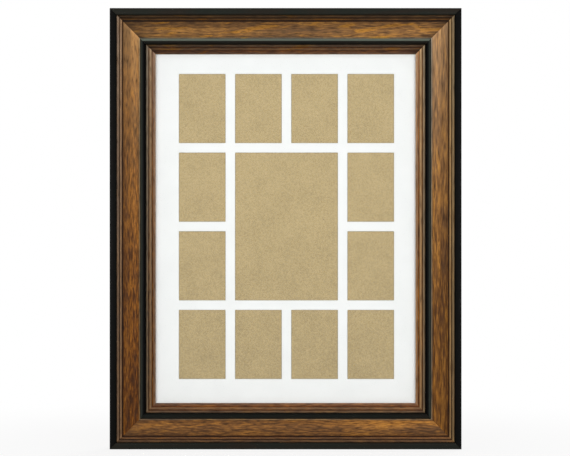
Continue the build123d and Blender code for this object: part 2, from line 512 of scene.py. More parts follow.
@dataclass(frozen=True)
class Finish:
    """What every finish has: a name, and the node tree that it fills."""

    name: str = "finish"

    def material(self) -> bpy.types.Material:
        """The finish's material, made on the first call.

        Returns:
            The material.
        """
        found = bpy.data.materials.get(self.name)
        if found is None:
            found = bpy.data.materials.new(self.name)
            found.use_nodes = True
            found.node_tree.nodes.clear()
            graph = Graph(found.node_tree)
            shader = graph.node("ShaderNodeBsdfPrincipled")
            output = graph.node("ShaderNodeOutputMaterial")
            graph.feed(output.inputs["Surface"], shader.outputs[0])
            self.fill(graph, shader)
        return found

    def fill(self, graph: Graph, shader: bpy.types.Node) -> None:
        """Feed the shader's sockets. Each finish has its own.

        Args:
            graph: The material's node graph.
            shader: Its Principled BSDF.
        """
        raise NotImplementedError

    @staticmethod
    def object_place(graph: Graph) -> bpy.types.NodeSocket:
        """Object coordinates, in metres."""
        return graph.node("ShaderNodeTexCoord").outputs["Object"]

    @staticmethod
    def rail_place(graph: Graph) -> bpy.types.NodeSocket:
        """The rail's own UV: X along the moulding and Y round its section, in metres."""
        return graph.node("ShaderNodeUVMap", uv_map="along_rail").outputs["UV"]

    @staticmethod
    def attribute(graph: Graph, name: str, output: str = "Fac") -> bpy.types.NodeSocket:
        """An attribute of the piece's mesh."""
        return graph.node("ShaderNodeAttribute", attribute_name=name).outputs[output]


@dataclass(frozen=True)
class Lacquer(Finish):
    """Brushed black lacquer, its tone varied by board as painted reflection, with a painted grey highlight on its
    slopes.
    """

    name: str = "black_lacquer"
    body: Tone = Tone(27, 29, 25)
    warm: Tone = Tone(32, 28, 23)
    # Grey of the painted highlight on the lacquer's slopes
    wax: Tone = Tone(110, 117, 106)
    patch: Streaks = Streaks(0.05, 0.006, 2.0, 3.0)
    brush: Streaks = Streaks(0.02, 0.0003, 5.0, 3.0)
    warm_range: Point = (0.4, 0.7)
    # Depth of the painted shade in recesses
    recess_shade: float = 1.4
    wax_streak: float = 0.5
    gloss: Patches = Patches(0.01, 0.28, 0.4)
    specular: float = 0.03
    brush_depth: float = 0.00002

    def fill(self, graph: Graph, shader: bpy.types.Node) -> None:
        """Black with warmer patches and fine brush marks along the rail, painted shade in recesses and a painted
        grey highlight on its slopes.

        Args:
            graph: The material's node graph.
            shader: Its Principled BSDF.
        """
        place = self.rail_place(graph)
        warmth = graph.spread(self.patch.draw(graph, place), *self.warm_range)
        brush = self.brush.draw(graph, place)
        colour = graph.mix(warmth, self.body.linear(), self.warm.linear())
        colour = graph.multiply(colour, self.attribute(graph, "stain", "Color"))
        # Painted shade in recesses, then a painted grey highlight along the slopes
        sunk = graph.math("POWER", self.attribute(graph, "recess"), 2.0)
        colour = graph.multiply(colour, graph.rest_of(graph.times(sunk, self.recess_shade)))
        streak = graph.math("ADD", graph.times(brush, self.wax_streak), 1 - self.wax_streak / 2)
        waxed = graph.times(self.attribute(graph, "stain", "Alpha"), streak)
        graph.feed(shader.inputs["Base Color"], graph.mix(waxed, colour, self.wax.linear()))
        graph.feed(shader.inputs["Roughness"], self.gloss.draw(graph, place))
        shader.inputs["Specular IOR Level"].default_value = self.specular
        graph.feed(shader.inputs["Normal"], graph.bump(brush, self.brush_depth))


@dataclass(frozen=True)
class Walnut(Finish):
    """Walnut with fine dashed grain and gold lens figure, a painted pale highlight and sheen, and glaze with painted
    shade in its recesses.
    """

    name: str = "walnut"
    tones: tuple[Tone, ...] = (Tone(62, 35, 9), Tone(110, 67, 20), Tone(170, 113, 40))
    tone_places: tuple[float, ...] = (0.36, 0.5, 0.68)
    tone_drop: float = 0.16
    dash: Tone = Tone(70, 38, 10)
    pore: Tone = Tone(44, 24, 9)
    # Pale tone of the painted highlights and sheen, and dark tone of the glaze and painted shade in recesses
    wax: Tone = Tone(188, 152, 118)
    glaze: Tone = Tone(34, 17, 6)
    broad: Streaks = Streaks(0.12, 0.012, 1.0)
    broad_weight: float = 0.5
    streak: Streaks = Streaks(0.0115, 0.0017, 7.0, 4.0, 0.3)
    streak_weight: float = 0.8
    lens: Streaks = Streaks(0.034, 0.0062, 4.0, 3.0, 0.25)
    lens_lean: float = 0.1
    lens_range: Point = (0.53, 0.66)
    lens_weight: float = 0.24
    lens_bare: float = 0.8
    dashes: Streaks = Streaks(0.005, 0.0012, 9.0, 2.0, 0.4)
    dash_range: Point = (0.54, 0.68)
    dash_share: float = 0.62
    pores: Streaks = Streaks(0.0035, 0.0003, 11.0, 1.0)
    pore_range: Point = (0.6, 0.72)
    pore_share: float = 0.5
    pore_roughness: float = 0.2
    wax_range: Point = (0.1, 0.55)
    glaze_share: float = 0.85
    gloss: Patches = Patches(0.006, 0.34, 0.5)
    specular: float = 0.08
    relief: Point = (0.3, 0.7)
    relief_depth: float = 0.00006

    def figure(self, graph: Graph, place: bpy.types.NodeSocket) -> bpy.types.NodeSocket:
        """Lens patches that lean across the board, as strong as the board's figure is.

        Args:
            graph: The material's node graph.
            place: The rail's own UV.

        Returns:
            The patches' share, 0 to 1.
        """
        parts = graph.split(place)
        across = graph.math("SUBTRACT", parts["Y"], graph.times(parts["X"], self.lens_lean))
        patch = self.lens.draw(graph, graph.join(parts["X"], across))
        return graph.times(graph.spread(patch, *self.lens_range), self.attribute(graph, "figure"))

    def fill(self, graph: Graph, shader: bpy.types.Node) -> None:
        """Figure, streaks, dashes and pores along the rail, under painted highlights and sheen, glaze with painted
        shade, and stain with painted light.

        Args:
            graph: The material's node graph.
            shader: Its Principled BSDF.
        """
        place = self.rail_place(graph)
        broad = self.broad.draw(graph, place)
        streak = self.streak.draw(graph, place)
        dashes = graph.spread(self.dashes.draw(graph, place), *self.dash_range)
        pores = graph.spread(self.pores.draw(graph, place), *self.pore_range)
        lens = self.figure(graph, place)
        tone = graph.total((streak, self.streak_weight), (broad, self.broad_weight), (lens, self.lens_weight))
        colour = graph.ramp(graph.math("SUBTRACT", tone, self.tone_drop), self.tone_places, self.tones)
        colour = graph.mix(graph.times(dashes, self.dash_share), colour, self.dash.linear())
        colour = graph.mix(graph.times(pores, self.pore_share), colour, self.pore.linear())
        # Painted highlights and sheen, glaze with painted shade in recesses, then stain with painted light
        unhighlit = graph.rest_of(graph.times(lens, self.lens_bare))
        waxed = graph.times(graph.spread(streak, *self.wax_range), unhighlit)
        waxed = graph.times(self.attribute(graph, "stain", "Alpha"), waxed)
        colour = graph.mix(waxed, colour, self.wax.linear())
        sunk = graph.math("POWER", self.attribute(graph, "recess"), 2.0)
        colour = graph.mix(graph.times(sunk, self.glaze_share), colour, self.glaze.linear())
        colour = graph.multiply(colour, self.attribute(graph, "stain", "Color"))
        graph.feed(shader.inputs["Base Color"], colour)
        rough = graph.math("ADD", self.gloss.draw(graph, place), graph.times(pores, self.pore_roughness))
        graph.feed(shader.inputs["Roughness"], rough)
        shader.inputs["Specular IOR Level"].default_value = self.specular
        raised, sunken = self.relief
        height = graph.total((streak, raised), (pores, -sunken))
        graph.feed(shader.inputs["Normal"], graph.bump(height, self.relief_depth))


@dataclass(frozen=True)
class RawWood(Finish):
    """Bare sawn wood on the back and in the rabbet, with saw marks across its grain."""

    name: str = "bare_wood"
    early: Tone = Tone(205, 174, 128)
    late: Tone = Tone(172, 134, 88)
    shades: tuple[Tone, ...] = (Tone(214, 204, 190), Tone(255, 255, 255))
    shade_places: Point = (0.3, 0.65)
    rings: Streaks = Streaks(0.16, 0.004, 3.0, 2.0, 0.4)
    late_range: Point = (0.42, 0.6)
    fibre: Streaks = Streaks(0.01, 0.0004, 6.0, 4.0)
    saw: Streaks = Streaks(0.0021, 0.09, 8.0, 1.0)
    saw_share: float = 0.6
    gloss: Patches = Patches(0.008, 0.7, 0.85)
    specular: float = 0.2
    depth: float = 0.00008

    def fill(self, graph: Graph, shader: bpy.types.Node) -> None:
        """Growth rings along the rail, fibres and shallow saw marks.

        Args:
            graph: The material's node graph.
            shader: Its Principled BSDF.
        """
        place = self.rail_place(graph)
        rings, fibre, saw = (streaks.draw(graph, place) for streaks in (self.rings, self.fibre, self.saw))
        colour = graph.mix(graph.spread(rings, *self.late_range), self.early.linear(), self.late.linear())
        shade = graph.ramp(fibre, self.shade_places, self.shades)
        graph.feed(shader.inputs["Base Color"], graph.multiply(colour, shade))
        graph.feed(shader.inputs["Roughness"], self.gloss.draw(graph, place))
        shader.inputs["Specular IOR Level"].default_value = self.specular
        height = graph.total((saw, self.saw_share), (fibre, 1 - self.saw_share))
        graph.feed(shader.inputs["Normal"], graph.bump(height, self.depth))


@dataclass(frozen=True)
class MatBoard(Finish):
    """White mat board: a faintly toothed face, a whiter core on the cut slopes and a buff rear ply, dark enough to
    paint a shadow line round the windows.
    """

    name: str = "white_mat_board"
    face: Tone = Tone(249, 250, 250)
    core: Tone = Tone(255, 255, 252)
    # Buff rear ply, dark enough to paint a shadow line round each window
    ply: Tone = Tone(116, 110, 82)
    ply_front: float = 0.0
    face_range: Point = (0.95, 0.99)
    cloud: Patches = Patches(0.03, 0.975, 1.0)
    tooth: Patches = Patches(0.00035)
    gloss: Patches = Patches(0.004, 0.82, 0.95)
    specular: float = 0.15
    depth: float = 0.000012

    def fill(self, graph: Graph, shader: bpy.types.Node) -> None:
        """Face and core by which way the surface faces, with paper tooth.

        Args:
            graph: The material's node graph.
            shader: Its Principled BSDF.
        """
        place = self.object_place(graph)
        facing = graph.split(graph.node("ShaderNodeTexCoord").outputs["Normal"])
        flat = graph.spread(graph.math("ABSOLUTE", facing["Y"]), *self.face_range)
        colour = graph.mix(flat, self.core.linear(), self.face.linear())
        colour = graph.multiply(colour, self.cloud.draw(graph, place))
        rear = graph.math("GREATER_THAN", graph.split(place)["Y"], self.ply_front)
        graph.feed(shader.inputs["Base Color"], graph.mix(rear, colour, self.ply.linear()))
        graph.feed(shader.inputs["Roughness"], self.gloss.draw(graph, place))
        shader.inputs["Specular IOR Level"].default_value = self.specular
        graph.feed(shader.inputs["Normal"], graph.bump(self.tooth.draw(graph, place), self.depth))


@dataclass(frozen=True)
class KraftBoard(Finish):
    """Brown kraft board with short fibres, mottled pulp and a few dark specks."""

    name: str = "brown_kraft_board"
    tones: tuple[Tone, ...] = (Tone(152, 130, 82), Tone(184, 159, 108), Tone(207, 182, 130))
    tone_places: tuple[float, ...] = (0.3, 0.5, 0.72)
    speck: Tone = Tone(92, 76, 44)
    level: Streaks = Streaks(0.0024, 0.0005, 1.0, 2.0, 0.8)
    upright: Streaks = Streaks(0.0024, 0.0005, 5.0, 2.0, 0.8)
    fibre_weight: float = 0.22
    pulp: Patches = Patches(0.0018, -0.2, 1.2, 2.0)
    pulp_weight: float = 0.15
    cloud: Patches = Patches(0.024, 0.44, 0.56)
    cloud_weight: float = 0.63
    # The board turns darker towards the bottom, as painted shade
    fading: Point = (-0.2, 0.06)
    fade_depth: float = 0.06
    specks: Flecks = Flecks(0.019, 0.045, 0.4)
    speck_share: float = 0.9
    gloss: Patches = Patches(0.003, 0.8, 0.95)
    specular: float = 0.1
    depth: float = 0.00002

    def fill(self, graph: Graph, shader: bpy.types.Node) -> None:
        """Two fibre directions over mottled pulp, darker towards the bottom as painted shade, and a few specks.

        Args:
            graph: The material's node graph.
            shader: Its Principled BSDF.
        """
        place = self.object_place(graph)
        parts = graph.split(place)
        level = self.level.draw(graph, graph.join(parts["X"], parts["Z"]))
        upright = self.upright.draw(graph, graph.join(parts["Z"], parts["X"]))
        fibres = graph.times(graph.math("ADD", level, upright), 0.5)
        tone = graph.total(
            (fibres, self.fibre_weight),
            (self.pulp.draw(graph, place), self.pulp_weight),
            (self.cloud.draw(graph, place), self.cloud_weight),
        )
        lower = graph.rest_of(graph.spread(parts["Z"], *self.fading))
        tone = graph.math("SUBTRACT", tone, graph.times(lower, self.fade_depth))
        specks = graph.times(self.specks.draw(graph, place), self.speck_share)
        colour = graph.mix(specks, graph.ramp(tone, self.tone_places, self.tones), self.speck.linear())
        graph.feed(shader.inputs["Base Color"], colour)
        graph.feed(shader.inputs["Roughness"], self.gloss.draw(graph, place))
        shader.inputs["Specular IOR Level"].default_value = self.specular
        graph.feed(shader.inputs["Normal"], graph.bump(fibres, self.depth))


@dataclass(frozen=True)
class Hardboard(Finish):
    """Pressed brown hardboard with a smooth, mottled face and pressed chips."""

    name: str = "pressed_hardboard"
    dark: Tone = Tone(86, 60, 40)
    body: Tone = Tone(112, 80, 54)
    chip: Tone = Tone(142, 106, 74)
    pulp: Patches = Patches(0.006, detail=5.0)
    pulp_share: float = 0.65
    cloud: Patches = Patches(0.05)
    chips: Flecks = Flecks(0.0016, 0.4, 0.3)
    chip_share: float = 0.25
    gloss: Patches = Patches(0.01, 0.45, 0.65)
    depth: float = 0.00003

    def fill(self, graph: Graph, shader: bpy.types.Node) -> None:
        """Mottled pulp with paler pressed chips and a low sheen.

        Args:
            graph: The material's node graph.
            shader: Its Principled BSDF.
        """
        place = self.object_place(graph)
        pulp = self.pulp.draw(graph, place)
        tone = graph.total((pulp, self.pulp_share), (self.cloud.draw(graph, place), 1 - self.pulp_share))
        colour = graph.mix(tone, self.dark.linear(), self.body.linear())
        chips = graph.times(self.chips.draw(graph, place), self.chip_share)
        graph.feed(shader.inputs["Base Color"], graph.mix(chips, colour, self.chip.linear()))
        graph.feed(shader.inputs["Roughness"], self.gloss.draw(graph, place))
        graph.feed(shader.inputs["Normal"], graph.bump(pulp, self.depth))


@dataclass(frozen=True)
class ZincSteel(Finish):
    """Zinc plated steel: bright, faintly clouded and dulled by handling."""

    name: str = "zinc_plate"
    bright: Tone = Tone(206, 209, 210)
    dull: Tone = Tone(188, 191, 190)
    cloud: Patches = Patches(0.0016)
    scratch: Streaks = Streaks(0.006, 0.00012, 2.0, 2.0, 0.3)
    gloss: Patches = Patches(0.0012, 0.2, 0.34)
    depth: float = 0.000008

    def fill(self, graph: Graph, shader: bpy.types.Node) -> None:
        """Clouded plating with fine tumbling scratches.

        Args:
            graph: The material's node graph.
            shader: Its Principled BSDF.
        """
        place = self.object_place(graph)
        colour = graph.mix(self.cloud.draw(graph, place), self.bright.linear(), self.dull.linear())
        graph.feed(shader.inputs["Base Color"], colour)
        graph.feed(shader.inputs["Roughness"], self.gloss.draw(graph, place))
        shader.inputs["Metallic"].default_value = 1.0
        graph.feed(shader.inputs["Normal"], graph.bump(self.scratch.draw(graph, place), self.depth))


@dataclass(frozen=True)
class Rubber(Finish):
    """Matt black rubber with a light bloom of dust."""

    name: str = "black_rubber"
    body: Tone = Tone(38, 38, 38)
    bloom: Tone = Tone(74, 73, 71)
    dust: Patches = Patches(0.002, 0.0, 0.6)
    skin: Patches = Patches(0.0003)
    gloss: Patches = Patches(0.002, 0.7, 0.9)
    depth: float = 0.00003

    def fill(self, graph: Graph, shader: bpy.types.Node) -> None:
        """Dark rubber, dusty in patches, with a moulded skin.

        Args:
            graph: The material's node graph.
            shader: Its Principled BSDF.
        """
        place = self.object_place(graph)
        colour = graph.mix(self.dust.draw(graph, place), self.body.linear(), self.bloom.linear())
        graph.feed(shader.inputs["Base Color"], colour)
        graph.feed(shader.inputs["Roughness"], self.gloss.draw(graph, place))
        graph.feed(shader.inputs["Normal"], graph.bump(self.skin.draw(graph, place), self.depth))


@dataclass(frozen=True)
class ClearGlass(Finish):
    """Clear picture glass that lets lamp light through without dimming what it covers."""

    name: str = "picture_glass"
    tint: Tone = Tone(252, 255, 253)
    smear: Patches = Patches(0.03, 0.985, 1.0)
    gloss: Patches = Patches(0.02, 0.0, 0.01)
    specular: float = 0.2
    index: float = 1.5

    def material(self) -> bpy.types.Material:
        """The glass's material, clear to shadow and diffuse rays so that the mat stays evenly lit.

        Returns:
            The material.
        """
        found = bpy.data.materials.get(self.name)
        if found is None:
            found = super().material()
            graph = Graph(found.node_tree)
            output = next(n for n in found.node_tree.nodes if n.bl_idname == "ShaderNodeOutputMaterial")
            glass = output.inputs["Surface"].links[0].from_socket
            rays = graph.node("ShaderNodeLightPath")
            unseen = graph.math("MAXIMUM", rays.outputs["Is Shadow Ray"], rays.outputs["Is Diffuse Ray"])
            mix = graph.node("ShaderNodeMixShader")
            graph.feed(mix.inputs[0], unseen)
            graph.feed(mix.inputs[1], glass)
            graph.feed(mix.inputs[2], graph.node("ShaderNodeBsdfTransparent").outputs[0])
            graph.feed(output.inputs["Surface"], mix.outputs[0])
        return found

    def fill(self, graph: Graph, shader: bpy.types.Node) -> None:
        """Full transmission with faint smears in its gloss.

        Args:
            graph: The material's node graph.
            shader: Its Principled BSDF.
        """
        place = self.object_place(graph)
        colour = graph.multiply(self.tint.linear(), self.smear.draw(graph, place))
        graph.feed(shader.inputs["Base Color"], colour)
        graph.feed(shader.inputs["Roughness"], self.gloss.draw(graph, place))
        shader.inputs["Transmission Weight"].default_value = 1.0
        shader.inputs["Specular IOR Level"].default_value = self.specular
        shader.inputs["IOR"].default_value = self.index


# Mesh helpers

# Distance under which points of a turned form are one
WELD = 0.001 * MM


def fan(start: float, sweep: float, steps: int) -> list[float]:
    """Evenly spaced angles, both ends included."""
    return [start + sweep * step / steps for step in range(steps + 1)]


def round_points(centre: Point, radius: float, turns: Sequence[float]) -> list[Point]:
    """Points of a circle at some angles."""
    return [(centre[0] + radius * cos(turn), centre[1] + radius * sin(turn)) for turn in turns]


def smooth_step(value: float, low: float, high: float) -> float:
    """Ease from 0 at low to 1 at high, held outside them."""
    share = max(0.0, min(1.0, (value - low) / (high - low)))
    return share * share * (3 - 2 * share)


def faced_out(mesh: bpy.types.Mesh, weld: float = 0.0) -> bpy.types.Mesh:
    """Turn a mesh's faces outwards.

    Args:
        mesh: The mesh, which is changed.
        weld: Distance under which points first become one, if it isn't 0.

    Returns:
        The same mesh.
    """
    work = bmesh.new()
    work.from_mesh(mesh)
    if weld:
        bmesh.ops.remove_doubles(work, verts=work.verts, dist=weld)
    bmesh.ops.recalc_face_normals(work, faces=work.faces)
    work.to_mesh(mesh)
    work.free()
    return mesh


def mesh_of(name: str, points: Sequence[Sequence[float]], faces: Sequence[Sequence[int]]) -> bpy.types.Mesh:
    """Make a mesh with its normals facing out.

    Args:
        name: The mesh's name.
        points: The vertices.
        faces: Vertex indices of each face.

    Returns:
        The new mesh.
    """
    mesh = bpy.data.meshes.new(name)
    mesh.from_pydata([tuple(point) for point in points], [], [tuple(face) for face in faces])
    return faced_out(mesh)


def ring_shell(name: str, rings: Sequence[Sequence[Vector]], closed: bool) -> bpy.types.Mesh:
    """Join rings of equal length into a skin.

    Args:
        name: The mesh's name.
        rings: Closed rings of points, one after another.
        closed: Whether the last ring joins the first, else both ends are capped.

    Returns:
        The new mesh.
    """
    count = len(rings[0])
    points = [point for ring in rings for point in ring]
    faces = []
    for row in range(len(rings) if closed else len(rings) - 1):
        here, there = row * count, (row + 1) % len(rings) * count
        for column in range(count):
            step = (column + 1) % count
            faces.append((here + column, here + step, there + step, there + column))
    if not closed:
        faces.append(tuple(reversed(range(count))))
        faces.append(tuple(range(len(points) - count, len(points))))
    return mesh_of(name, points, faces)


def turned(name: str, profile: Sequence[Point], steps: int) -> bpy.types.Mesh:
    """Turn a profile about Z, with a pole wherever it meets the axis.

    Args:
        name: The mesh's name.
        profile: Radius and height of each point, from one end of the axis to the other.
        steps: How many sides the turned form has.

    Returns:
        The new mesh.
    """
    turns = fan(0.0, tau, steps)[:-1]
    rings = []
    for radius, height in profile:
        rings.append([Vector((x, y, height)) for x, y in round_points((0.0, 0.0), radius, turns)])
    return faced_out(ring_shell(name, rings, closed=False), WELD)


def smoothed(mesh: bpy.types.Mesh, sharp_degrees: float) -> bpy.types.Mesh:
    """Shade a mesh smooth, with edges sharper than an angle kept crisp.

    Args:
        mesh: The mesh, which is changed.
        sharp_degrees: The angle.

    Returns:
        The same mesh.
    """
    mesh.polygons.foreach_set("use_smooth", [True] * len(mesh.polygons))
    mesh.set_sharp_from_angle(angle=radians(sharp_degrees))
    return mesh


def moved(mesh: bpy.types.Mesh, place: Matrix, name: str) -> bpy.types.Mesh:
    """A copy of a mesh, carried to its place.

    Args:
        mesh: The mesh to copy.
        place: Where it goes.
        name: The copy's name.

    Returns:
        The copy.
    """
    copy = mesh.copy()
    copy.name = name
    copy.transform(place)
    return copy


def arc(first: Point, last: Point, rise: float, steps: int) -> list[Point]:
    """Points of a circular arc from first to last, both included.

    Args:
        first: Where the arc starts.
        last: Where it ends, to the right of the start.
        rise: How far its middle stands above the straight line, less than 0 to sink.
        steps: How many straight runs stand for it.

    Returns:
        The arc's points.
    """
    chord = Vector(last) - Vector(first)
    half = chord.length / 2
    radius = (half * half + rise * rise) / (2 * abs(rise))
    side = 1 if rise > 0 else -1
    normal = Vector((-chord.y, chord.x)).normalized() * side
    centre = (Vector(first) + Vector(last)) / 2 + normal * (abs(rise) - radius)
    start = atan2(first[1] - centre.y, first[0] - centre.x)
    sweep = -2 * side * acos(max(-1.0, min(1.0, (radius - abs(rise)) / radius)))
    if abs(rise) > half:
        sweep = -side * tau - sweep
    return round_points((centre.x, centre.y), radius, fan(start, sweep, steps))


def placed(name: str, data: bpy.types.ID) -> bpy.types.Object:
    """Put an object into the scene.

    Args:
        name: The object's name.
        data: Its mesh, lamp or camera.

    Returns:
        The new object.
    """
    made = bpy.data.objects.new(name, data)
    bpy.context.scene.collection.objects.link(made)
    return made


def flatten(carrier: bpy.types.Object) -> None:
    """Turn an object's modifiers into plain mesh.

    Args:
        carrier: The object, which gets the new mesh.
    """
    bpy.context.view_layer.update()
    depsgraph = bpy.context.evaluated_depsgraph_get()
    mesh = bpy.data.meshes.new_from_object(carrier.evaluated_get(depsgraph))
    carrier.modifiers.clear()
    carrier.data = mesh


def remove(tool: bpy.types.Object) -> None:
    """Take a helper object and its mesh out of the scene.

    Args:
        tool: The helper.
    """
    mesh = tool.data
    bpy.data.objects.remove(tool)
    bpy.data.meshes.remove(mesh)


def cut(body: bpy.types.Object, blade: bpy.types.Mesh, operation: str) -> None:
    """Cut an object with a mesh, which is used up.

    Args:
        body: The object to cut.
        blade: The mesh that cuts it.
        operation: The Boolean modifier's operation.
    """
    tool = placed("blade", blade)
    modifier = body.modifiers.new("cut", "BOOLEAN")
    modifier.object = tool
    modifier.operation = operation
    modifier.solver = "EXACT"
    flatten(body)
    remove(tool)


@dataclass
class Dresser:
    """Puts finished meshes into the scene on the body that carries them, and reports each."""

    count: int = 0

    def add(
        self,
        name: str,
        mesh: bpy.types.Mesh,
        finishes: Sequence[Finish],
        body: str,
        slot: str,
        nodes: Sequence[str] = (),
    ) -> bpy.types.Object:
        """Show a mesh as a piece of the object.

        Args:
            name: The piece's name.
            mesh: Its finished mesh, in place.
            finishes: Its finishes, in the order of the mesh's material indices.
            body: The CAD body that it rides on.
            slot: The record's material slot; not used.
            nodes: The CAD nodes that it stands for.

        Returns:
            The new object.
        """
        for finish in finishes:
            mesh.materials.append(finish.material())
        piece = placed(name, mesh)
        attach(piece, body)
        if nodes:
            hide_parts(*nodes)
        self.count += 1
        LOG.info("%s: %d faces on %s", name, len(mesh.polygons), body)
        return piece

    def paint(self, node: bpy.types.Object, finish: Finish) -> None:
        """Give a CAD node that stays in view its finish.

        Args:
            node: The node's object.
            finish: The finish.
        """
        node.data.materials.clear()
        node.data.materials.append(finish.material())
        self.count += 1
        LOG.info("%s: CAD form with %s", node.name, finish.name)


# Moulding

# Painted highlight and painted shade with glaze across a member: where the highlight ends and fades, as shares of
# its width, how much glaze and painted shade fill its edges, and the powers by which that falls towards the middle
HIGHLIGHT_FADE = 0.12
EDGE_GLAZE_AND_SHADE = 0.75
POOL_END = 0.75
POOL_START = 0.35
OUTER_FALL = 6
INNER_GLAZE_AND_SHADE = 0.4
INNER_FALL = 12


class Coat(Enum):
    """Which finish covers a member of the moulding, by the rail's material index."""

    LACQUER = 0
    WALNUT = 1
    RAW = 2


class Side(Enum):
    """The sides of the frame: along the rail, and inwards from its outer edge."""

    TOP = ((-1, 0, 0), (0, 0, -1))
    BOTTOM = ((1, 0, 0), (0, 0, 1))
    LEFT = ((0, 0, -1), (1, 0, 0))
    RIGHT = ((0, 0, 1), (-1, 0, 0))

    @property
    def along(self) -> Vector:
        """Direction of the rail."""
        return Vector(self.value[0])

    @property
    def inward(self) -> Vector:
        """Direction from the outer edge to the sight."""
        return Vector(self.value[1])

    def seat(self, origin: Sequence[float]) -> Matrix:
        """Place of a fitting on the rail's back: its Y points inwards and its Z to the wall.

        Args:
            origin: Where the fitting's own origin comes.

        Returns:
            The transform from the fitting's own axes.
        """
        rear = Vector((0, 1, 0))
        axes = Matrix((-self.along, self.inward, rear)).transposed()
        return Matrix.Translation(Vector(origin)) @ axes.to_4x4()


class Zone(Enum):
    """The three bands of the moulding's members, each with its own stain and painted light on each board."""

    OUTER = "outer"
    SCOOP = "scoop"
    INNER = "inner"


@dataclass(frozen=True)
class Member:
    """One member of the moulding's front, taken from its outer side inwards."""

    width: float
    outer: float
    inner: float
    rise: float = 0.0
    coat: Coat = Coat.WALNUT
    stain: ColourShare = PLAIN
    # Painted shade with glaze, painted highlight, and painted shade over a scoop's outer half
    shade: float = 0.0
    wax: float = 0.0
    wax_reach: float = 2.0
    drift: float = 0.0
    zone: Zone = Zone.OUTER

    def waxed(self, across: float) -> float:
        """Share of painted highlight at a share of the member's width, which ends at its reach."""
        fade = max(0.0, min(1.0, (across - self.wax_reach) / HIGHLIGHT_FADE))
        return self.wax * (1 - fade)

    def recessed(self, across: float) -> float:
        """How much glaze and painted shade lie across the member.

        Args:
            across: Share of its width.

        Returns:
            Share of the full depth of glaze and painted shade.
        """
        if self.rise < 0:
            return self.settled(across)
        side = (2 * across - 1) ** 2
        return EDGE_GLAZE_AND_SHADE * side + self.shade * (1 - side)

    def settled(self, across: float) -> float:
        """Glaze and painted shade in a scoop: dark along its outer side and over its outer half, light inside.

        Args:
            across: Share of its width.

        Returns:
            Share of the full depth of glaze and painted shade.
        """
        outer = EDGE_GLAZE_AND_SHADE * max(0.0, 1 - 2 * across) ** OUTER_FALL
        pool = self.drift * smooth_step(across, POOL_END, POOL_START)
        inner = INNER_GLAZE_AND_SHADE * max(0.0, 2 * across - 1) ** INNER_FALL
        return max(outer, pool, inner)


@dataclass(frozen=True)
class Board:
    """How the board of one side is coloured: its stains, lacquer tone, painted highlight and sheen, and painted
    light along it and at its mitres.
    """

    # Stains by zone and the lacquer's tone: partly painted shade, highlight and reflection, side by side
    outer: ColourShare
    scoop: ColourShare
    inner: ColourShare
    black: float
    wax: float
    polish: float
    # Painted sheen overall and from the ends, painted light from end to end and at the mitres
    even_wax: float = 0.0
    start_wax: float = 0.0
    end_wax: float = 0.0
    start_stain: ColourShare = PLAIN
    end_stain: ColourShare = PLAIN
    mitre_shade: float = 1.0
    mitre_reach: float = 0.03
    figure: float = 0.4
    stretch: float = 1.0

    def stain(self, member: Member) -> ColourShare:
        """The stain of a member on this board, with painted light.

        Args:
            member: The member.

        Returns:
            Its stain and painted light, as a share of the finish's own colour.
        """
        own = {Zone.OUTER: self.outer, Zone.SCOOP: self.scoop, Zone.INNER: self.inner}[member.zone]
        if member.coat is Coat.LACQUER:
            own = (self.black, self.black, self.black)
        return tuple(one * other for one, other in zip(member.stain, own))

    def tint(self, along: float) -> ColourShare:
        """Stain and painted light along the board, from end to end, with painted shade or highlight at its mitres.

        Args:
            along: Share of the board's length.

        Returns:
            The stain and painted light there, as a share of the member's own.
        """
        near = max(0.0, 1 - min(along, 1 - along) / self.mitre_reach)
        shade = 1 + (self.mitre_shade - 1) * near
        return tuple((a + (b - a) * along) * shade for a, b in zip(self.start_stain, self.end_stain))

    def veil(self, along: float) -> float:
        """Painted sheen that thins out from the board's ends, at a share of its length."""
        return self.even_wax + self.start_wax * (1 - along) ** 3 + self.end_wax * along**3


@dataclass
class Outline:
    """Closed outline of the moulding's section, with what each run of it wears."""

    points: list[Point] = field(default_factory=list)
    recess: list[float] = field(default_factory=list)
    coats: list[Coat] = field(default_factory=list)
    stains: list[ColourShare] = field(default_factory=list)
    waxes: list[Point] = field(default_factory=list)

    def run(
        self,
        points: Sequence[Point],
        recess: Sequence[float],
        coat: Coat,
        stain: ColourShare = PLAIN,
        wax: Sequence[float] = (),
    ) -> None:
        """Carry the outline on through some points.

        Args:
            points: The points that follow the last one.
            recess: Glaze and painted shade at each point, 0 to 1.
            coat: What covers the runs that lead to them.
            stain: The stain and painted light on those runs, as a share of the finish's own colour.
            wax: Share of painted highlight before the first point and at each point, none if it is empty.
        """
        levels = wax or [0.0] * (len(points) + 1)
        for index, (point, depth) in enumerate(zip(points, recess)):
            self.points.append(point)
            self.recess.append(depth)
            self.coats.append(coat)
            self.stains.append(stain)
            self.waxes.append((levels[index], levels[index + 1]))


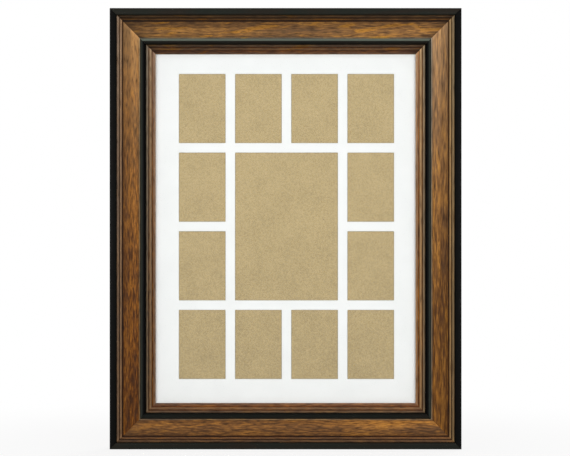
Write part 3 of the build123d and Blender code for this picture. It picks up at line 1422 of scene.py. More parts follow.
@dataclass
class Moulding:
    """The four mitred rails of milled moulding, lacquered and stained, with painted light in their stain and
    lacquer.
    """

    dresser: Dresser
    rabbet_depth: float = 8.2 * MM
    rabbet_width: float = 7.35 * MM
    band_width: float = 7.6 * MM
    band_level: float = 25.0 * MM
    band_round: float = 1.6 * MM
    lip_round: float = 0.5 * MM
    mitre_gap: float = 0.03 * MM
    mitre_ease: float = 0.14 * MM
    spans: int = 14
    near_mitre: tuple[float, ...] = (0.012, 0.03, 0.05)
    board_cut: float = 0.83
    crest: tuple[int, ...] = (4, 5, 6)
    crest_rub: float = 0.03
    band_steps: int = 6
    bead_steps: int = 10
    crisp: float = 28.0
    # Painted shade, with glaze on the wood, at the band's side and top, the lip, its reveal and the bare back
    foot_recess: float = 0.6
    band_recess: float = 0.25
    lip_recess: float = 0.2
    reveal_recess: float = 0.5
    raw_recess: float = 0.3
    # Members' stains are partly painted light; the shade of quirks, grooves and the scoop's outer half is painted
    # shade, and crest highlights are painted
    members: tuple[Member, ...] = (
        Member(3.1 * MM, 21.8 * MM, 21.8 * MM, 1.2 * MM, stain=(0.56, 0.65, 0.8), shade=0.2, wax=0.5),
        Member(0.6 * MM, 20.7 * MM, 20.7 * MM, stain=(0.42, 0.34, 0.24), shade=0.9),
        Member(2.2 * MM, 20.9 * MM, 20.9 * MM, 1.1 * MM, stain=(0.72, 0.74, 0.76), wax=0.62),
        Member(1.6 * MM, 18.8 * MM, 18.8 * MM, stain=(0.36, 0.28, 0.18), shade=0.8),
        Member(17.2 * MM, 19.8 * MM, 18.4 * MM, -1.5 * MM, drift=0.66, zone=Zone.SCOOP),
        Member(1.4 * MM, 18.2 * MM, 18.2 * MM, stain=(0.84, 1.05, 1.4), wax=0.3, zone=Zone.SCOOP),
        Member(6.6 * MM, 19.0 * MM, 19.0 * MM, 2.4 * MM, Coat.LACQUER, GREY, wax=1.0, wax_reach=0.38),
        Member(2.7 * MM, 16.3 * MM, 16.3 * MM, 1.1 * MM, stain=(0.5, 0.64, 0.8), wax=0.5, zone=Zone.INNER),
        Member(0.5 * MM, 13.6 * MM, 13.6 * MM, stain=(1.1, 0.7, 0.4), shade=0.5, zone=Zone.INNER),
        Member(3.2 * MM, 14.0 * MM, 14.0 * MM, 1.2 * MM, stain=(0.72, 0.8, 0.84), wax=0.5, zone=Zone.INNER),
        Member(0.6 * MM, 12.4 * MM, 12.4 * MM, stain=(1.05, 0.68, 0.4), shade=0.5, zone=Zone.INNER),
        Member(0.9 * MM, 13.2 * MM, 12.8 * MM, stain=(0.95, 0.9, 1.05), shade=0.15, zone=Zone.INNER),
        Member(2.6 * MM, 12.8 * MM, 11.6 * MM, stain=(0.78, 0.82, 0.95), wax=0.5, zone=Zone.INNER),
    )
    # Painted light by side: the top's outer beads dark as painted shade, the side rails paler towards the top as
    # painted sheen, the lacquer lighter on top and bottom as painted reflection
    boards: dict[Side, Board] = field(
        default_factory=lambda: {
            Side.TOP: Board(
                outer=(0.39, 0.33, 0.24),
                scoop=(1.19, 1.22, 1.17),
                inner=(0.6, 0.52, 0.52),
                black=1.45,
                wax=0.4,
                polish=0.85,
                even_wax=0.14,
                mitre_shade=0.6,
                mitre_reach=0.05,
                start_stain=(1.06, 1.1, 1.14),
                end_stain=(0.77, 0.8, 0.78),
                figure=1.0,
            ),
            Side.BOTTOM: Board(
                outer=(0.9, 0.78, 0.67),
                scoop=(1.31, 1.31, 1.22),
                inner=(1.2, 1.05, 1.0),
                black=1.3,
                wax=0.5,
                polish=0.03,
                even_wax=0.1,
                start_stain=(0.78, 0.78, 0.82),
                figure=0.3,
            ),
            Side.LEFT: Board(
                outer=PLAIN,
                scoop=(1.14, 1.06, 0.76),
                inner=PLAIN,
                black=0.12,
                wax=1.0,
                polish=0.16,
                start_wax=0.56,
                mitre_shade=1.3,
                mitre_reach=0.012,
                end_stain=(0.78, 0.72, 0.66),
                figure=0.25,
            ),
            Side.RIGHT: Board(
                outer=(1.2, 1.25, 1.0),
                scoop=(1.38, 1.48, 1.48),
                inner=(1.45, 1.4, 1.25),
                black=0.12,
                wax=1.0,
                polish=0.18,
                end_wax=0.42,
                mitre_shade=1.3,
                mitre_reach=0.012,
                start_stain=(0.74, 0.7, 0.66),
                figure=0.25,
                stretch=1.6,
            ),
        }
    )

    def outline(self, board: Board) -> Outline:
        """The section: X inwards from the outer side, Y up from the rails' back.

        Args:
            board: The board that it is milled from.

        Returns:
            The closed outline, from the outer corner of the back round by the front.
        """
        made = Outline()
        black = (board.black, board.black, board.black)
        bend = self.band_round
        edge = self.band_level - bend
        band = [(0.0, 0.0)]
        for middle, start in ((bend, pi), (self.band_width - bend, pi / 2)):
            band += round_points((middle, edge), bend, fan(start, -pi / 2, self.band_steps))
        side, top = band[:2], band[2:]
        # Painted highlight on the band's rounded crest
        crest_highlights = [self.crest_rub if index in self.crest else 0.0 for index in range(2, len(band) + 1)]
        # The outer side keeps the lacquer's own tone, whatever stain and painted light the board's face took
        made.run(side, (self.foot_recess, self.band_recess), Coat.LACQUER)
        made.run(top, [self.band_recess] * len(top), Coat.LACQUER, black, crest_highlights)
        inset, floor, coat, carried_stain_and_light = self.band_width, edge, Coat.LACQUER, black
        for member in self.members:
            ends = (inset, member.outer), (inset + member.width, member.inner)
            is_black = member.coat is Coat.LACQUER
            stain = board.stain(member)
            drops = floor > member.outer
            made.run([ends[0]], [member.recessed(0.0)], coat if drops else member.coat, carried_stain_and_light if drops else stain)
            steps = 1
            if member.rise:
                steps = self.bead_steps if member.rise > 0 else 2 * self.bead_steps
            curve = arc(*ends, member.rise, steps) if member.rise else ends
            shares = [step / steps for step in range(steps + 1)]
            wax = [member.waxed(share) * (board.polish if is_black else board.wax) for share in shares]
            depths = [member.recessed(share) if member.rise else member.shade for share in shares[1:]]
            made.run(curve[1:], depths, member.coat, stain, wax)
            inset, floor, coat, carried_stain_and_light = ends[1][0], ends[1][1], member.coat, stain
        made.run([(inset, floor - self.lip_round)], [self.lip_recess], Coat.WALNUT, carried_stain_and_light)
        made.run([(inset, self.rabbet_depth)], [self.reveal_recess], Coat.WALNUT, carried_stain_and_light)
        back_width = inset - self.rabbet_width
        raw = [(back_width, self.rabbet_depth), (back_width, 0.0), (0.0, 0.0)]
        made.run(raw, [self.raw_recess] * len(raw), Coat.RAW)
        made.points.pop()
        made.recess.pop()
        made.waxes.pop()
        made.coats[0], made.stains[0] = made.coats.pop(), made.stains.pop()
        return made

    def build_rail(self, name: str, side: Side, index: int) -> bpy.types.Mesh:
        """Mesh of one rail, cut at both mitres with a hair of room and eased ends.

        Args:
            name: The rail's CAD node.
            side: The side of the frame that it makes.
            index: The rail's number, which moves its grain along the board.

        Returns:
            The rail's mesh, with its UV, glaze with painted shade, and stain with painted light.
        """
        low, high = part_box(name)
        size = high - low
        length = max(size.x, size.z)
        middle = (low + high) / 2
        start = middle - side.along * length / 2 - side.inward * min(size.x, size.z) / 2
        start.y = high.y
        front = Vector((0, -1, 0))
        board = self.boards[side]
        outline = self.outline(board)
        girth = [0.0]
        for one, other in zip(outline.points, outline.points[1:] + outline.points[:1]):
            girth.append(girth[-1] + hypot(other[0] - one[0], other[1] - one[1]))
        eased = self.eased(outline.points)
        stations = [(0.0, self.mitre_gap, True), (0.0, self.mitre_gap + self.mitre_ease, False)]
        middle_shares = [step / self.spans for step in range(1, self.spans)]
        inner_shares = [*self.near_mitre, *middle_shares, *(1 - share for share in reversed(self.near_mitre))]
        stations += [(share, 0.0, False) for share in inner_shares]
        stations += [(1.0, -self.mitre_gap - self.mitre_ease, False), (1.0, -self.mitre_gap, True)]
        rings, travel = [], []
        for share, shift, is_end in stations:
            points = eased if is_end else outline.points
            ring = []
            for inset, level in points:
                along = inset + share * (length - 2 * inset) + shift
                ring.append(start + side.along * along + side.inward * inset + front * level)
                travel.append(along)
            rings.append(ring)
        mesh = ring_shell(f"{name}_form", rings, closed=False)
        begin = index * self.board_cut
        shares = [share for share, _, _ in stations]
        travel = [(begin + along) / board.stretch for along in travel]
        self.mark(mesh, outline, board, girth, travel, shares)
        return smoothed(mesh, self.crisp)

    def eased(self, points: Sequence[Point]) -> list[Point]:
        """The outline drawn in by the ease at the mitres, for the rails' ends.

        Args:
            points: The section's outline.

        Returns:
            The outline drawn in.
        """
        drawn = []
        for index, point in enumerate(points):
            before, after = Vector(points[index - 1]), Vector(points[(index + 1) % len(points)])
            run = after - before
            normal = Vector((run.y, -run.x)).normalized()
            drawn.append(tuple(Vector(point) + normal * self.mitre_ease))
        return drawn

    def mark(
        self,
        mesh: bpy.types.Mesh,
        outline: Outline,
        board: Board,
        girth: Sequence[float],
        travel: Sequence[float],
        shares: Sequence[float],
    ) -> None:
        """Write a rail's UV, glaze with painted shade, figure, stain and painted light with its painted highlight
        and sheen, and coats.

        Args:
            mesh: The rail's mesh, whose vertices run ring by ring.
            outline: The section's outline.
            board: The board that the rail is milled from.
            girth: Length round the section up to each of its points.
            travel: Length along the board of each vertex.
            shares: Share of the rail's length at each ring.
        """
        count = len(outline.points)
        places: list[float] = []
        stains: list[float] = []
        for face in mesh.polygons:
            columns = sorted({vertex % count for vertex in face.vertices})
            is_cap = len(columns) > 2
            wraps = columns == [0, count - 1]
            run = 0 if wraps else columns[-1]
            face.material_index = Coat.RAW.value if is_cap else outline.coats[run].value
            stain = PLAIN if is_cap else outline.stains[run]
            is_wood = outline.coats[run] is Coat.WALNUT
            for vertex in face.vertices:
                column = vertex % count
                along = shares[vertex // count]
                places += (travel[vertex], girth[count] if wraps and column == 0 else girth[column])
                wax = outline.waxes[run][1 if column == run else 0]
                if is_wood:
                    # Painted sheen from the board's ends, and stain with painted light along it
                    wax += board.veil(along) * (1 - wax)
                    stains += (one * other for one, other in zip(stain, board.tint(along)))
                else:
                    stains += stain
                stains.append(wax)
        figure = mesh.attributes.new("figure", "FLOAT", "POINT")
        figure.data.foreach_set("value", [board.figure] * len(mesh.vertices))
        recess = mesh.attributes.new("recess", "FLOAT", "POINT")
        recess.data.foreach_set("value", [outline.recess[i % count] for i in range(len(mesh.vertices))])
        mesh.uv_layers.new(name="along_rail").data.foreach_set("uv", places)
        stain = mesh.color_attributes.new(name="stain", type="FLOAT_COLOR", domain="CORNER")
        stain.data.foreach_set("color", stains)

    def build(self) -> None:
        """Make and dress the four rails."""
        finishes = (Lacquer(), Walnut(), RawWood())
        for index, side in enumerate(Side):
            name = f"{side.name.lower()}_rail"
            mesh = self.build_rail(name, side, index)
            self.dresser.add(f"{side.name.lower()}_moulding", mesh, finishes, "frame", "moulding", (name,))


# Glazing pack


@dataclass
class GlazingPack:
    """Glass, window mat, kraft sheet and backing board, which keep their CAD forms."""

    dresser: Dresser
    nodes: dict[str, bpy.types.Object]
    # Depth of the mat's rear ply that paints the windows' shadow line
    ply: float = 0.6 * MM

    def build(self) -> None:
        """Dress each sheet of the pack."""
        mat_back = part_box("window_mat")[1].y
        finishes = {
            "glass_pane": ClearGlass(),
            "window_mat": MatBoard(ply_front=mat_back - self.ply),
            "kraft_backing_sheet": KraftBoard(),
            "rear_backing_board": Hardboard(),
        }
        for name, finish in finishes.items():
            self.dresser.paint(self.nodes[name], finish)


# Fittings on the back

# Height of the screws' seats over the rails' back, and of a strap's screw from its bar
BUTTON_TOP = 1.2 * MM
STRAP_TOP = 1.6 * MM
STRAP_SCREW_REACH = 21.3 * MM


@dataclass
class TurnButtons:
    """Pressed steel turn buttons that hold the backing board, each on its own pivot."""

    dresser: Dresser
    joints: list[dict]
    length: float = 24.0 * MM
    width: float = 10.0 * MM
    thickness: float = 1.0 * MM
    tail: float = 6.0 * MM
    gap: float = 0.1 * MM
    hole_radius: float = 1.58 * MM
    tip_lift: float = 0.7 * MM
    bend: Point = (11.4 * MM, 14.6 * MM)
    edge_round: float = 0.22 * MM
    ease_start: float = 0.3
    steps: int = 96
    rows: int = 14
    crisp: float = 50.0

    def edge_points(self) -> list[Vector]:
        """Points of the strip's outer edge, evenly spaced, from its right side by the tail.

        Returns:
            The points, counter-clockwise, in the strip's own plane.
        """
        radius = self.width / 2
        straight = self.length - self.width
        foot = radius - self.tail
        whole = 2 * straight + tau * radius
        points = []
        for step in range(self.steps):
            run = whole * step / self.steps
            if run < straight:
                points.append(Vector((radius, foot + run)))
            elif run < straight + pi * radius:
                turn = (run - straight) / radius
                points.append(Vector((radius * cos(turn), foot + straight + radius * sin(turn))))
            elif run < 2 * straight + pi * radius:
                points.append(Vector((-radius, foot + straight - (run - straight - pi * radius))))
            else:
                turn = pi + (run - 2 * straight - pi * radius) / radius
                points.append(Vector((radius * cos(turn), foot + radius * sin(turn))))
        return points

    def lift(self, place: float) -> float:
        """How far the strip is raised at a distance from its pivot."""
        return self.tip_lift * smooth_step(place, *self.bend)

    def section(self, outer: Vector) -> list[Vector]:
        """Ring of points round the sheet, from its outer edge to the pivot hole.

        Args:
            outer: A point of the strip's outer edge.

        Returns:
            The ring, along the underside and back over the top.
        """
        inner = outer.normalized() * self.hole_radius
        reach = (outer - inner).length
        ease = self.edge_round
        start = ease * self.ease_start
        shares = [(0.0, ease), (start / reach, start), (ease / reach, 0.0)]
        middle = [ease / reach + (1 - 2 * ease / reach) * row / self.rows for row in range(1, self.rows)]
        shares += [(share, 0.0) for share in middle]
        shares += [(1 - share, inset) for share, inset in reversed(shares[:3])]
        ring = []
        for is_top in (False, True):
            for share, inset in reversed(shares) if is_top else shares:
                spot = outer.lerp(inner, share)
                height = self.gap + (self.thickness - inset if is_top else inset)
                ring.append(Vector((spot.x, spot.y, height + self.lift(spot.y))))
        return ring

    def build(self) -> None:
        """Make each button on its pivot."""
        form = ring_shell("turn_button", [self.section(point) for point in self.edge_points()], True)
        smoothed(form, self.crisp)
        for joint in self.joints:
            node = joint["child"]
            if not node.startswith("turn_button"):
                continue
            words = node.removeprefix("turn_button_").upper().split("_")
            side = next(side for side in Side if side.name == words[0])
            mesh = moved(form, side.seat(joint["pos_m"]), f"{node}_form")
            self.dresser.add(f"{node}_strip", mesh, (ZincSteel(),), node, "zinc_steel", (node,))
        bpy.data.meshes.remove(form)


@dataclass
class Hangers:
    """D-ring hangers: a strap folded round the ring's bar, and the ring that swings in it."""

    dresser: Dresser
    joints: list[dict]
    back: float
    knuckle_height: float = 2.08 * MM
    sheet: float = 0.78 * MM
    layer_gap: float = 0.04 * MM
    strap_length: float = 26.0 * MM
    strap_width: float = 9.4 * MM
    hole_radius: float = 1.85 * MM
    slope: float = radians(45)
    throat_round: float = 1.5 * MM
    edge_round: float = 0.12 * MM
    overrun: float = 1.0 * MM
    wire_radius: float = 1.2 * MM
    bar_corner: float = 2.4 * MM
    half_width: float = 8.0 * MM
    reach: float = 13.4 * MM
    wire_steps: int = 18
    bow_steps: int = 32
    bend_steps: int = 8
    knuckle_steps: int = 28
    hole_steps: int = 48
    ease_segments: int = 2
    ease_angle: float = radians(50)
    strap_crisp: float = 40.0
    wire_crisp: float = 60.0

    def strap_path(self) -> list[Point]:
        """Middle line of the folded sheet: out along the back, round the bar and home above it.

        Returns:
            The line's points, as distance from the bar and height over the back.
        """
        low = self.sheet / 2
        high = low + self.sheet + self.layer_gap
        centre, turn = self.knuckle_height, self.knuckle_height - low
        throat = high + self.throat_round
        run = (centre - throat + (turn + self.throat_round) * cos(self.slope)) / sin(self.slope)
        throat_place = -(turn + self.throat_round) * sin(self.slope) - run * cos(self.slope)
        end = -self.strap_length - self.overrun
        knuckle = round_points((0.0, centre), turn, fan(-pi / 2, pi + self.slope, self.knuckle_steps))
        bend = fan(self.slope - pi / 2, -self.slope, self.bend_steps)
        throat_bend = round_points((throat_place, throat), self.throat_round, bend)
        return [(end, low), *knuckle, *throat_bend, (end, high)]

    def folded(self) -> bpy.types.Mesh:
        """Wide folded strip, before it is cut to its outline.

        Returns:
            The strip.
        """
        path = [Vector(point) for point in self.strap_path()]
        left, right = [], []
        for index, point in enumerate(path):
            before = path[max(index - 1, 0)]
            after = path[min(index + 1, len(path) - 1)]
            run = (after - before).normalized()
            normal = Vector((-run.y, run.x)) * self.sheet / 2
            left.append(point + normal)
            right.append(point - normal)
        outline = left + right[::-1]
        rings = []
        for across in (-self.strap_width, self.strap_width):
            rings.append([Vector((across, point.x, point.y)) for point in outline])
        return ring_shell("folded_strip", rings, closed=False)

    def cutter(self, is_hole: bool) -> bpy.types.Mesh:
        """Prism of the strap's plan, or of its screw hole.

        Args:
            is_hole: Whether it is the hole's.

        Returns:
            The prism.
        """
        radius = self.hole_radius if is_hole else self.strap_width / 2
        foot = self.strap_width / 2 - self.strap_length
        top = 2 * self.knuckle_height + self.overrun
        turns = fan(pi, tau, self.hole_steps)
        plan = round_points((0.0, foot), radius, turns[:-1] if is_hole else turns[: self.hole_steps // 2 + 1])
        if not is_hole:
            plan += [(radius, top), (-radius, top)]
        rings = [[Vector((x, y, level)) for x, y in plan] for level in (-self.overrun, top)]
        return ring_shell("cutter", rings, closed=False)

    def strap(self) -> bpy.types.Mesh:
        """The folded strip cut to its outline and drilled, its edges eased.

        Returns:
            The strap, about its bar's middle on the back.
        """
        body = placed("strap_blank", self.folded())
        cut(body, self.cutter(is_hole=False), "INTERSECT")
        cut(body, self.cutter(is_hole=True), "DIFFERENCE")
        ease = body.modifiers.new("ease", "BEVEL")
        ease.width = self.edge_round
        ease.segments = self.ease_segments
        ease.limit_method = "ANGLE"
        ease.angle_limit = self.ease_angle
        flatten(body)
        mesh = body.data
        bpy.data.objects.remove(body)
        return smoothed(mesh, self.strap_crisp)

    def ring(self) -> bpy.types.Mesh:
        """The bent wire ring round its bar, at rest over the rail.

        Returns:
            The ring, about its bar's middle.
        """
        corner, half = self.bar_corner, self.half_width
        bends = (
            ((0.0, self.reach - half), half, fan(0.0, pi, self.bow_steps)),
            ((corner - half, corner), corner, fan(pi, pi / 2, self.bend_steps)),
            ((half - corner, corner), corner, fan(3 * pi / 2, pi / 2, self.bend_steps)),
        )
        section = round_points((0.0, self.knuckle_height), self.wire_radius, fan(0.0, tau, self.wire_steps)[:-1])
        rings = []
        for centre, radius, turns in bends:
            for (x, y), turn in zip(round_points(centre, radius, turns), turns):
                rings.append([Vector((x + out * cos(turn), y + out * sin(turn), height)) for out, height in section])
        return smoothed(ring_shell("ring_wire", rings, closed=True), self.wire_crisp)

    def build(self) -> None:
        """Make both hangers on their knuckles."""
        strap, ring = self.strap(), self.ring()
        for joint in self.joints:
            node = joint["child"]
            if not node.startswith("hanger_ring"):
                continue
            hand = node.removeprefix("hanger_ring_")
            x, _, z = joint["pos_m"]
            seat = Side[hand.upper()].seat((x, self.back, z))
            mesh = moved(ring, seat, f"{node}_form")
            self.dresser.add(f"{node}_wire", mesh, (ZincSteel(),), node, "zinc_steel", (node,))
            node = f"hanger_strap_{hand}"
            mesh = moved(strap, seat, f"{node}_form")
            self.dresser.add(f"{node}_sheet", mesh, (ZincSteel(),), "frame", "zinc_steel", (node,))
        bpy.data.meshes.remove(strap)
        bpy.data.meshes.remove(ring)


@dataclass
class Screws:
    """Cross-recessed pan head wood screws, set in their places by a node tree."""

    dresser: Dresser
    node: str
    seats: list[Vector]
    seed: int
    shank_radius: float
    head_radius: float
    head_height: float
    length: float = 13.0 * MM
    tip_share: float = 0.25
    point_share: float = 0.12
    foot_share: float = 0.97
    rim_share: float = 0.32
    crown_share: float = 0.42
    recess_share: float = 0.52
    wing_share: float = 0.2
    depth_share: float = 0.62
    floor_taper: Point = (0.55, 0.7)
    top_taper: Point = (1.2, 1.15)
    overcut: float = 1.3
    dome_steps: int = 8
    steps: int = 40
    crisp: float = 32.0

    def head_profile(self) -> list[Point]:
        """Profile of the screw from its point to the crown of its domed head.

        Returns:
            Radius and height of each point.
        """
        shank, edge, crown = self.shank_radius, self.head_radius, self.head_radius * self.crown_share
        rim = self.head_height * self.rim_share
        profile = [(0.0, -self.length), (shank * self.point_share, -self.length)]
        profile += [(shank, self.length * self.tip_share - self.length), (shank, 0.0)]
        profile += [(edge * self.foot_share, 0.0), (edge, rim / 4), (edge, rim)]
        for turn in fan(0.0, pi / 2, self.dome_steps)[1:]:
            profile.append((crown + (edge - crown) * cos(turn), rim + (self.head_height - rim) * sin(turn)))
        return [*profile, (0.0, self.head_height)]

    def wing(self, turn: float) -> bpy.types.Mesh:
        """Tapered blade that cuts one slot of the cross.

        Args:
            turn: Angle of the slot about the screw's axis.

        Returns:
            The blade.
        """
        reach = self.head_radius * self.recess_share
        half = self.head_radius * self.wing_share / 2
        floor = self.head_height * (1 - self.depth_share)
        top = self.head_height * self.overcut
        rings = []
        for level, taper in ((floor, self.floor_taper), (top, self.top_taper)):
            length, width = reach * taper[0], half * taper[1]
            corners = ((-length, -width), (length, -width), (length, width), (-length, width))
            rings.append([Vector((x, y, level)) for x, y in corners])
        mesh = ring_shell("wing", rings, closed=False)
        mesh.transform(Matrix.Rotation(turn, 4, "Z"))
        return mesh

    def template(self) -> bpy.types.Object:
        """One screw with its cross recess, head up along Z.

        Returns:
            The screw, under its own name in the scene.
        """
        screw = placed("screw", turned("screw", self.head_profile(), self.steps))
        for turn in (0.0, pi / 2):
            cut(screw, self.wing(turn), "DIFFERENCE")
        smoothed(screw.data, self.crisp)
        return screw

    def tree(self) -> bpy.types.NodeTree:
        """Node tree that stands a screw on each point, turned by chance about its axis.

        Returns:
            The tree.
        """
        tree = bpy.data.node_groups.new("set_screws", "GeometryNodeTree")
        sockets = (
            ("Places", "NodeSocketGeometry"),
            ("Screw", "NodeSocketObject"),
            ("Plating", "NodeSocketMaterial"),
            ("Turn Seed", "NodeSocketInt"),
        )
        for name, kind in sockets:
            tree.interface.new_socket(name=name, in_out="INPUT", socket_type=kind)
        tree.interface.new_socket(name="Screws", in_out="OUTPUT", socket_type="NodeSocketGeometry")
        graph = Graph(tree)
        given = graph.node("NodeGroupInput").outputs
        source = graph.node("GeometryNodeObjectInfo")
        graph.feed(source.inputs["Object"], given["Screw"])
        chance = graph.node("FunctionNodeRandomValue", data_type="FLOAT")
        spans = [socket for socket in chance.inputs if socket.type == "VALUE" and socket.enabled]
        graph.feed(spans[0], 0.0)
        graph.feed(spans[1], pi)
        graph.feed(chance.inputs["Seed"], given["Turn Seed"])
        turn = next(socket for socket in chance.outputs if socket.type == "VALUE" and socket.enabled)
        own = graph.node("FunctionNodeEulerToRotation")
        graph.feed(own.inputs[0], graph.join(z=turn))
        upright = graph.node("FunctionNodeRotateRotation", rotation_space="LOCAL")
        upright.inputs[0].default_value = (-pi / 2, 0.0, 0.0)
        graph.feed(upright.inputs[1], own.outputs[0])
        stand = graph.node("GeometryNodeInstanceOnPoints")
        graph.feed(stand.inputs["Points"], given["Places"])
        graph.feed(stand.inputs["Instance"], source.outputs["Geometry"])
        graph.feed(stand.inputs["Rotation"], upright.outputs[0])
        real = graph.node("GeometryNodeRealizeInstances")
        graph.feed(real.inputs["Geometry"], stand.outputs["Instances"])
        plate = graph.node("GeometryNodeSetMaterial")
        graph.feed(plate.inputs["Geometry"], real.outputs["Geometry"])
        graph.feed(plate.inputs["Material"], given["Plating"])
        graph.feed(graph.node("NodeGroupOutput").inputs["Screws"], plate.outputs["Geometry"])
        return tree

    def build(self) -> None:
        """Set the screws and make them one plain mesh."""
        template = self.template()
        places = bpy.data.meshes.new(f"{self.node}_places")
        places.from_pydata([tuple(seat) for seat in self.seats], [], [])
        carrier = placed(f"{self.node}_places", places)
        setter = carrier.modifiers.new("set_screws", "NODES")
        tree = self.tree()
        setter.node_group = tree
        finish = ZincSteel()
        values = {"Screw": template, "Plating": finish.material(), "Turn Seed": self.seed}
        for item in tree.interface.items_tree:
            if item.name in values:
                setter[item.identifier] = values[item.name]
        flatten(carrier)
        mesh = carrier.data
        bpy.data.objects.remove(carrier)
        remove(template)
        mesh.materials.clear()
        self.dresser.add(f"{self.node}_set", mesh, (finish,), "frame", "zinc_steel", (self.node,))


@dataclass
class VNails:
    """Corrugated V-nails across the mitres, pressed nearly flush with the back."""

    dresser: Dresser
    back_width: float = 43.45 * MM
    node: str = "v_nails"
    leg: float = 5.0 * MM
    thickness: float = 0.5 * MM
    curl: float = 0.45 * MM
    curl_start: float = 0.6
    proud: float = 0.06 * MM
    shown_depth: float = 2.0 * MM
    shares: tuple[float, ...] = (0.27, 0.8)
    steps: int = 6
    crisp: float = 40.0

    def outline(self) -> list[Point]:
        """Plan of one nail: two legs at a right angle with curled ends.

        Returns:
            The plan's points.
        """
        half = self.thickness / 2
        leg = []
        for step in range(self.steps + 1):
            share = step / self.steps
            bent = max(0.0, share - self.curl_start) / (1 - self.curl_start)
            leg.append((share * (self.leg - half), -self.curl * bent**2))
        outer = [(x, y - half) for x, y in leg]
        inner = [(x, y + half) for x, y in leg]
        inner[0] = (half, half)
        outer[0] = (-half, -half)
        mirrored_inner = [(y, x) for x, y in inner[1:]]
        mirrored_outer = [(y, x) for x, y in outer[1:]]
        return outer + inner[:0:-1] + [inner[0]] + mirrored_inner + mirrored_outer[::-1]

    def build(self) -> None:
        """Set two nails in each corner."""
        _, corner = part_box("top_rail")
        back = corner.y
        points: list[Sequence[float]] = []
        faces: list[Sequence[int]] = []
        plan = self.outline()
        count = len(plan)
        for sign_x, sign_z in ((-1, -1), (-1, 1), (1, -1), (1, 1)):
            for share in self.shares:
                inset = share * self.back_width + self.thickness / 2
                start = len(points)
                for level in (back + self.proud, back - self.shown_depth):
                    for x, y in plan:
                        across, up = corner.x - inset - x, corner.z - inset - y
                        points.append((sign_x * across, level, sign_z * up))
                top = list(range(start, start + count))
                under = list(range(start + count, start + 2 * count))
                faces += [top, under[::-1]]
                for index in range(count):
                    step = (index + 1) % count
                    faces.append((top[step], top[index], under[index], under[step]))
        mesh = smoothed(mesh_of("v_nails_form", points, faces), self.crisp)
        self.dresser.add("v_nails_set", mesh, (ZincSteel(),), "frame", "zinc_steel", (self.node,))


@dataclass
class Bumpers:
    """Moulded rubber bumpers that keep the frame's foot off the wall."""

    dresser: Dresser
    radius: float = 5.0 * MM
    height: float = 4.8 * MM
    edge_round: float = 0.9 * MM
    draft: float = 0.25 * MM
    round_steps: int = 8
    steps: int = 56
    crisp: float = 45.0

    def profile(self) -> list[Point]:
        """Profile from the glued foot to the rounded face.

        Returns:
            Radius and height of each point.
        """
        rim = self.radius - self.draft - self.edge_round
        centre = (rim, self.height - self.edge_round)
        edge = round_points(centre, self.edge_round, fan(0.0, pi / 2, self.round_steps))
        return [(0.0, 0.0), (self.radius, 0.0), *edge, (0.0, self.height)]

    def build(self) -> None:
        """Turn both bumpers in their places."""
        form = smoothed(turned("bumper", self.profile(), self.steps), self.crisp)
        for hand in ("left", "right"):
            node = f"bumper_{hand}"
            low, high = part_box(node)
            middle = (low + high) / 2
            place = Matrix.Translation((middle.x, low.y, middle.z)) @ Matrix.Rotation(-pi / 2, 4, "X")
            mesh = moved(form, place, f"{node}_form")
            self.dresser.add(f"{node}_pad", mesh, (Rubber(),), "frame", "bumper_rubber", (node,))
        bpy.data.meshes.remove(form)


# Studio

WHITE = (1.0, 1.0, 1.0, 1.0)


@dataclass(frozen=True)
class Lamp:
    """A square soft box: where it stands, its side and its power in watts."""

    name: str
    place: tuple[float, float, float]
    size: float
    power: float


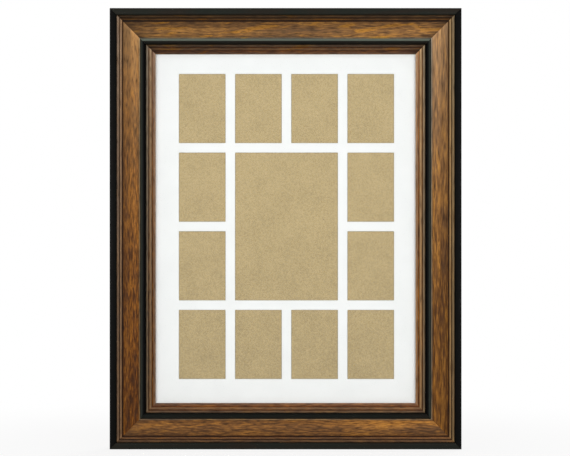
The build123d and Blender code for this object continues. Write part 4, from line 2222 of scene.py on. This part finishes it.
@dataclass
class Studio:
    """Camera, lamps, white surroundings and pale floor."""

    distance: float = 2.4
    lens: float = 133.47
    sensor: float = 36.0
    aim: Point = (-0.00067, 0.00078)
    ambient: float = 0.42
    lamps: tuple[Lamp, ...] = (
        Lamp("left_box", (-0.8, -2.3, 0.055), 0.6, 14.8),
        Lamp("right_box", (0.8, -2.3, 0.055), 0.6, 14.8),
        Lamp("high_box", (0.0, -2.2, 0.95), 0.6, 3.0),
        Lamp("rear_box", (0.9, 2.0, 1.2), 1.2, 22.0),
    )
    floor_span: float = 8.0
    floor_gap: float = 0.2 * MM
    floor_tone: Tone = Tone(248, 248, 248)
    floor_shadow: float = 0.15
    floor_fade: Point = (0.25, 0.75)

    def camera(self) -> None:
        """Long lens square to the frame, a hair left of and above its middle."""
        data = bpy.data.cameras.new("camera")
        data.lens = self.lens
        data.sensor_width = self.sensor
        camera = placed("camera", data)
        camera.location = (self.aim[0], -self.distance, self.aim[1])
        camera.rotation_euler = (pi / 2, 0.0, 0.0)
        bpy.context.scene.camera = camera

    def light(self, lamp: Lamp) -> None:
        """Stand a soft box in its place, facing the frame.

        Args:
            lamp: The soft box.
        """
        data = bpy.data.lights.new(lamp.name, "AREA")
        data.size = lamp.size
        data.energy = lamp.power
        stand = placed(lamp.name, data)
        stand.location = lamp.place
        stand.rotation_euler = (-Vector(lamp.place)).to_track_quat("-Z", "Y").to_euler()

    def white_to_view(self, graph: Graph, other: bpy.types.NodeSocket, share: Feed, emission: str) -> None:
        """Show white to camera, glossy and transmission rays, and the given shader to the rest.

        Args:
            graph: The material's or world's node graph.
            other: Shader for the rays that light the object.
            share: How much of the white those rays see of it.
            emission: Type name of the node that gives the white.
        """
        rays = graph.node("ShaderNodeLightPath")
        seen = graph.math("MAXIMUM", rays.outputs["Is Camera Ray"], rays.outputs["Is Glossy Ray"])
        seen = graph.math("MAXIMUM", seen, rays.outputs["Is Transmission Ray"])
        white = graph.node(emission)
        white.inputs["Color"].default_value = WHITE
        white.inputs["Strength"].default_value = 1.0
        mix = graph.node("ShaderNodeMixShader")
        graph.feed(mix.inputs[0], graph.times(seen, share))
        graph.feed(mix.inputs[1], other)
        graph.feed(mix.inputs[2], white.outputs[0])
        is_world = emission == "ShaderNodeBackground"
        output = graph.node("ShaderNodeOutputWorld" if is_world else "ShaderNodeOutputMaterial")
        graph.feed(output.inputs["Surface"], mix.outputs[0])

    def surroundings(self) -> None:
        """White world: plain to the eye, softer as light."""
        world = bpy.data.worlds.new("surroundings")
        world.use_nodes = True
        world.node_tree.nodes.clear()
        graph = Graph(world.node_tree)
        light = graph.node("ShaderNodeBackground")
        light.inputs["Color"].default_value = WHITE
        light.inputs["Strength"].default_value = self.ambient
        self.white_to_view(graph, light.outputs[0], 1.0, "ShaderNodeBackground")
        bpy.context.scene.world = world

    def floor(self) -> None:
        """Pale floor under the frame that keeps a light shadow."""
        low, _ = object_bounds()
        half = self.floor_span / 2
        corners = [(-half, -half), (half, -half), (half, half), (-half, half)]
        mesh = mesh_of("floor", [(x, y, low.z - self.floor_gap) for x, y in corners], [(0, 1, 2, 3)])
        material = bpy.data.materials.new("pale_floor")
        material.use_nodes = True
        material.node_tree.nodes.clear()
        graph = Graph(material.node_tree)
        matt = graph.node("ShaderNodeBsdfDiffuse")
        matt.inputs["Color"].default_value = self.floor_tone.linear()
        place = graph.node("ShaderNodeTexCoord").outputs["Object"]
        length = graph.node("ShaderNodeVectorMath", operation="LENGTH")
        graph.feed(length.inputs[0], place)
        near = graph.rest_of(graph.spread(length.outputs["Value"], *self.floor_fade))
        share = graph.rest_of(graph.times(near, self.floor_shadow))
        self.white_to_view(graph, matt.outputs[0], share, "ShaderNodeEmission")
        mesh.materials.append(material)
        floor = placed("floor", mesh)
        floor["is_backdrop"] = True

    def build(self) -> None:
        """Set up the studio."""
        bpy.context.scene.view_settings.view_transform = "Standard"
        self.camera()
        self.surroundings()
        for lamp in self.lamps:
            self.light(lamp)
        self.floor()


def screw_seats(joints: list[dict], kind: str, level: float, outwards: float = 0.0) -> list[Vector]:
    """Places of the screws that go with a kind of moving piece.

    Args:
        joints: The model's joints.
        kind: How the names of those pieces begin.
        level: Where the screw heads sit, along Y.
        outwards: How far each stands from its joint, away from the frame's middle.

    Returns:
        The place under each screw's head.
    """
    seats = []
    for joint in joints:
        if joint["child"].startswith(kind):
            x, _, z = joint["pos_m"]
            seats.append(Vector((x + (outwards if x > 0 else -outwards), level, z)))
    return seats


def main() -> None:
    """Build the studio and every sub-assembly in order."""
    logging.basicConfig(level=logging.INFO, format="%(name)s %(message)s")
    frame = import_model()
    dresser = Dresser()
    Studio().build()
    Moulding(dresser).build()
    GlazingPack(dresser, frame["nodes"]).build()
    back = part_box("top_rail")[1].y
    joints = frame["joints"]
    TurnButtons(dresser, joints).build()
    Hangers(dresser, joints, back).build()
    seats = screw_seats(joints, "turn_button", back + BUTTON_TOP)
    Screws(
        dresser,
        "turn_button_screws",
        seats,
        seed=4,
        shank_radius=1.5 * MM,
        head_radius=2.9 * MM,
        head_height=1.8 * MM,
    ).build()
    seats = screw_seats(joints, "hanger_ring", back + STRAP_TOP, STRAP_SCREW_REACH)
    Screws(
        dresser,
        "hanger_screws",
        seats,
        seed=9,
        shank_radius=1.75 * MM,
        head_radius=3.3 * MM,
        head_height=1.9 * MM,
    ).build()
    VNails(dresser).build()
    Bumpers(dresser).build()
    LOG.info("%d pieces dressed", dresser.count)


if __name__ == "__main__":
    main()
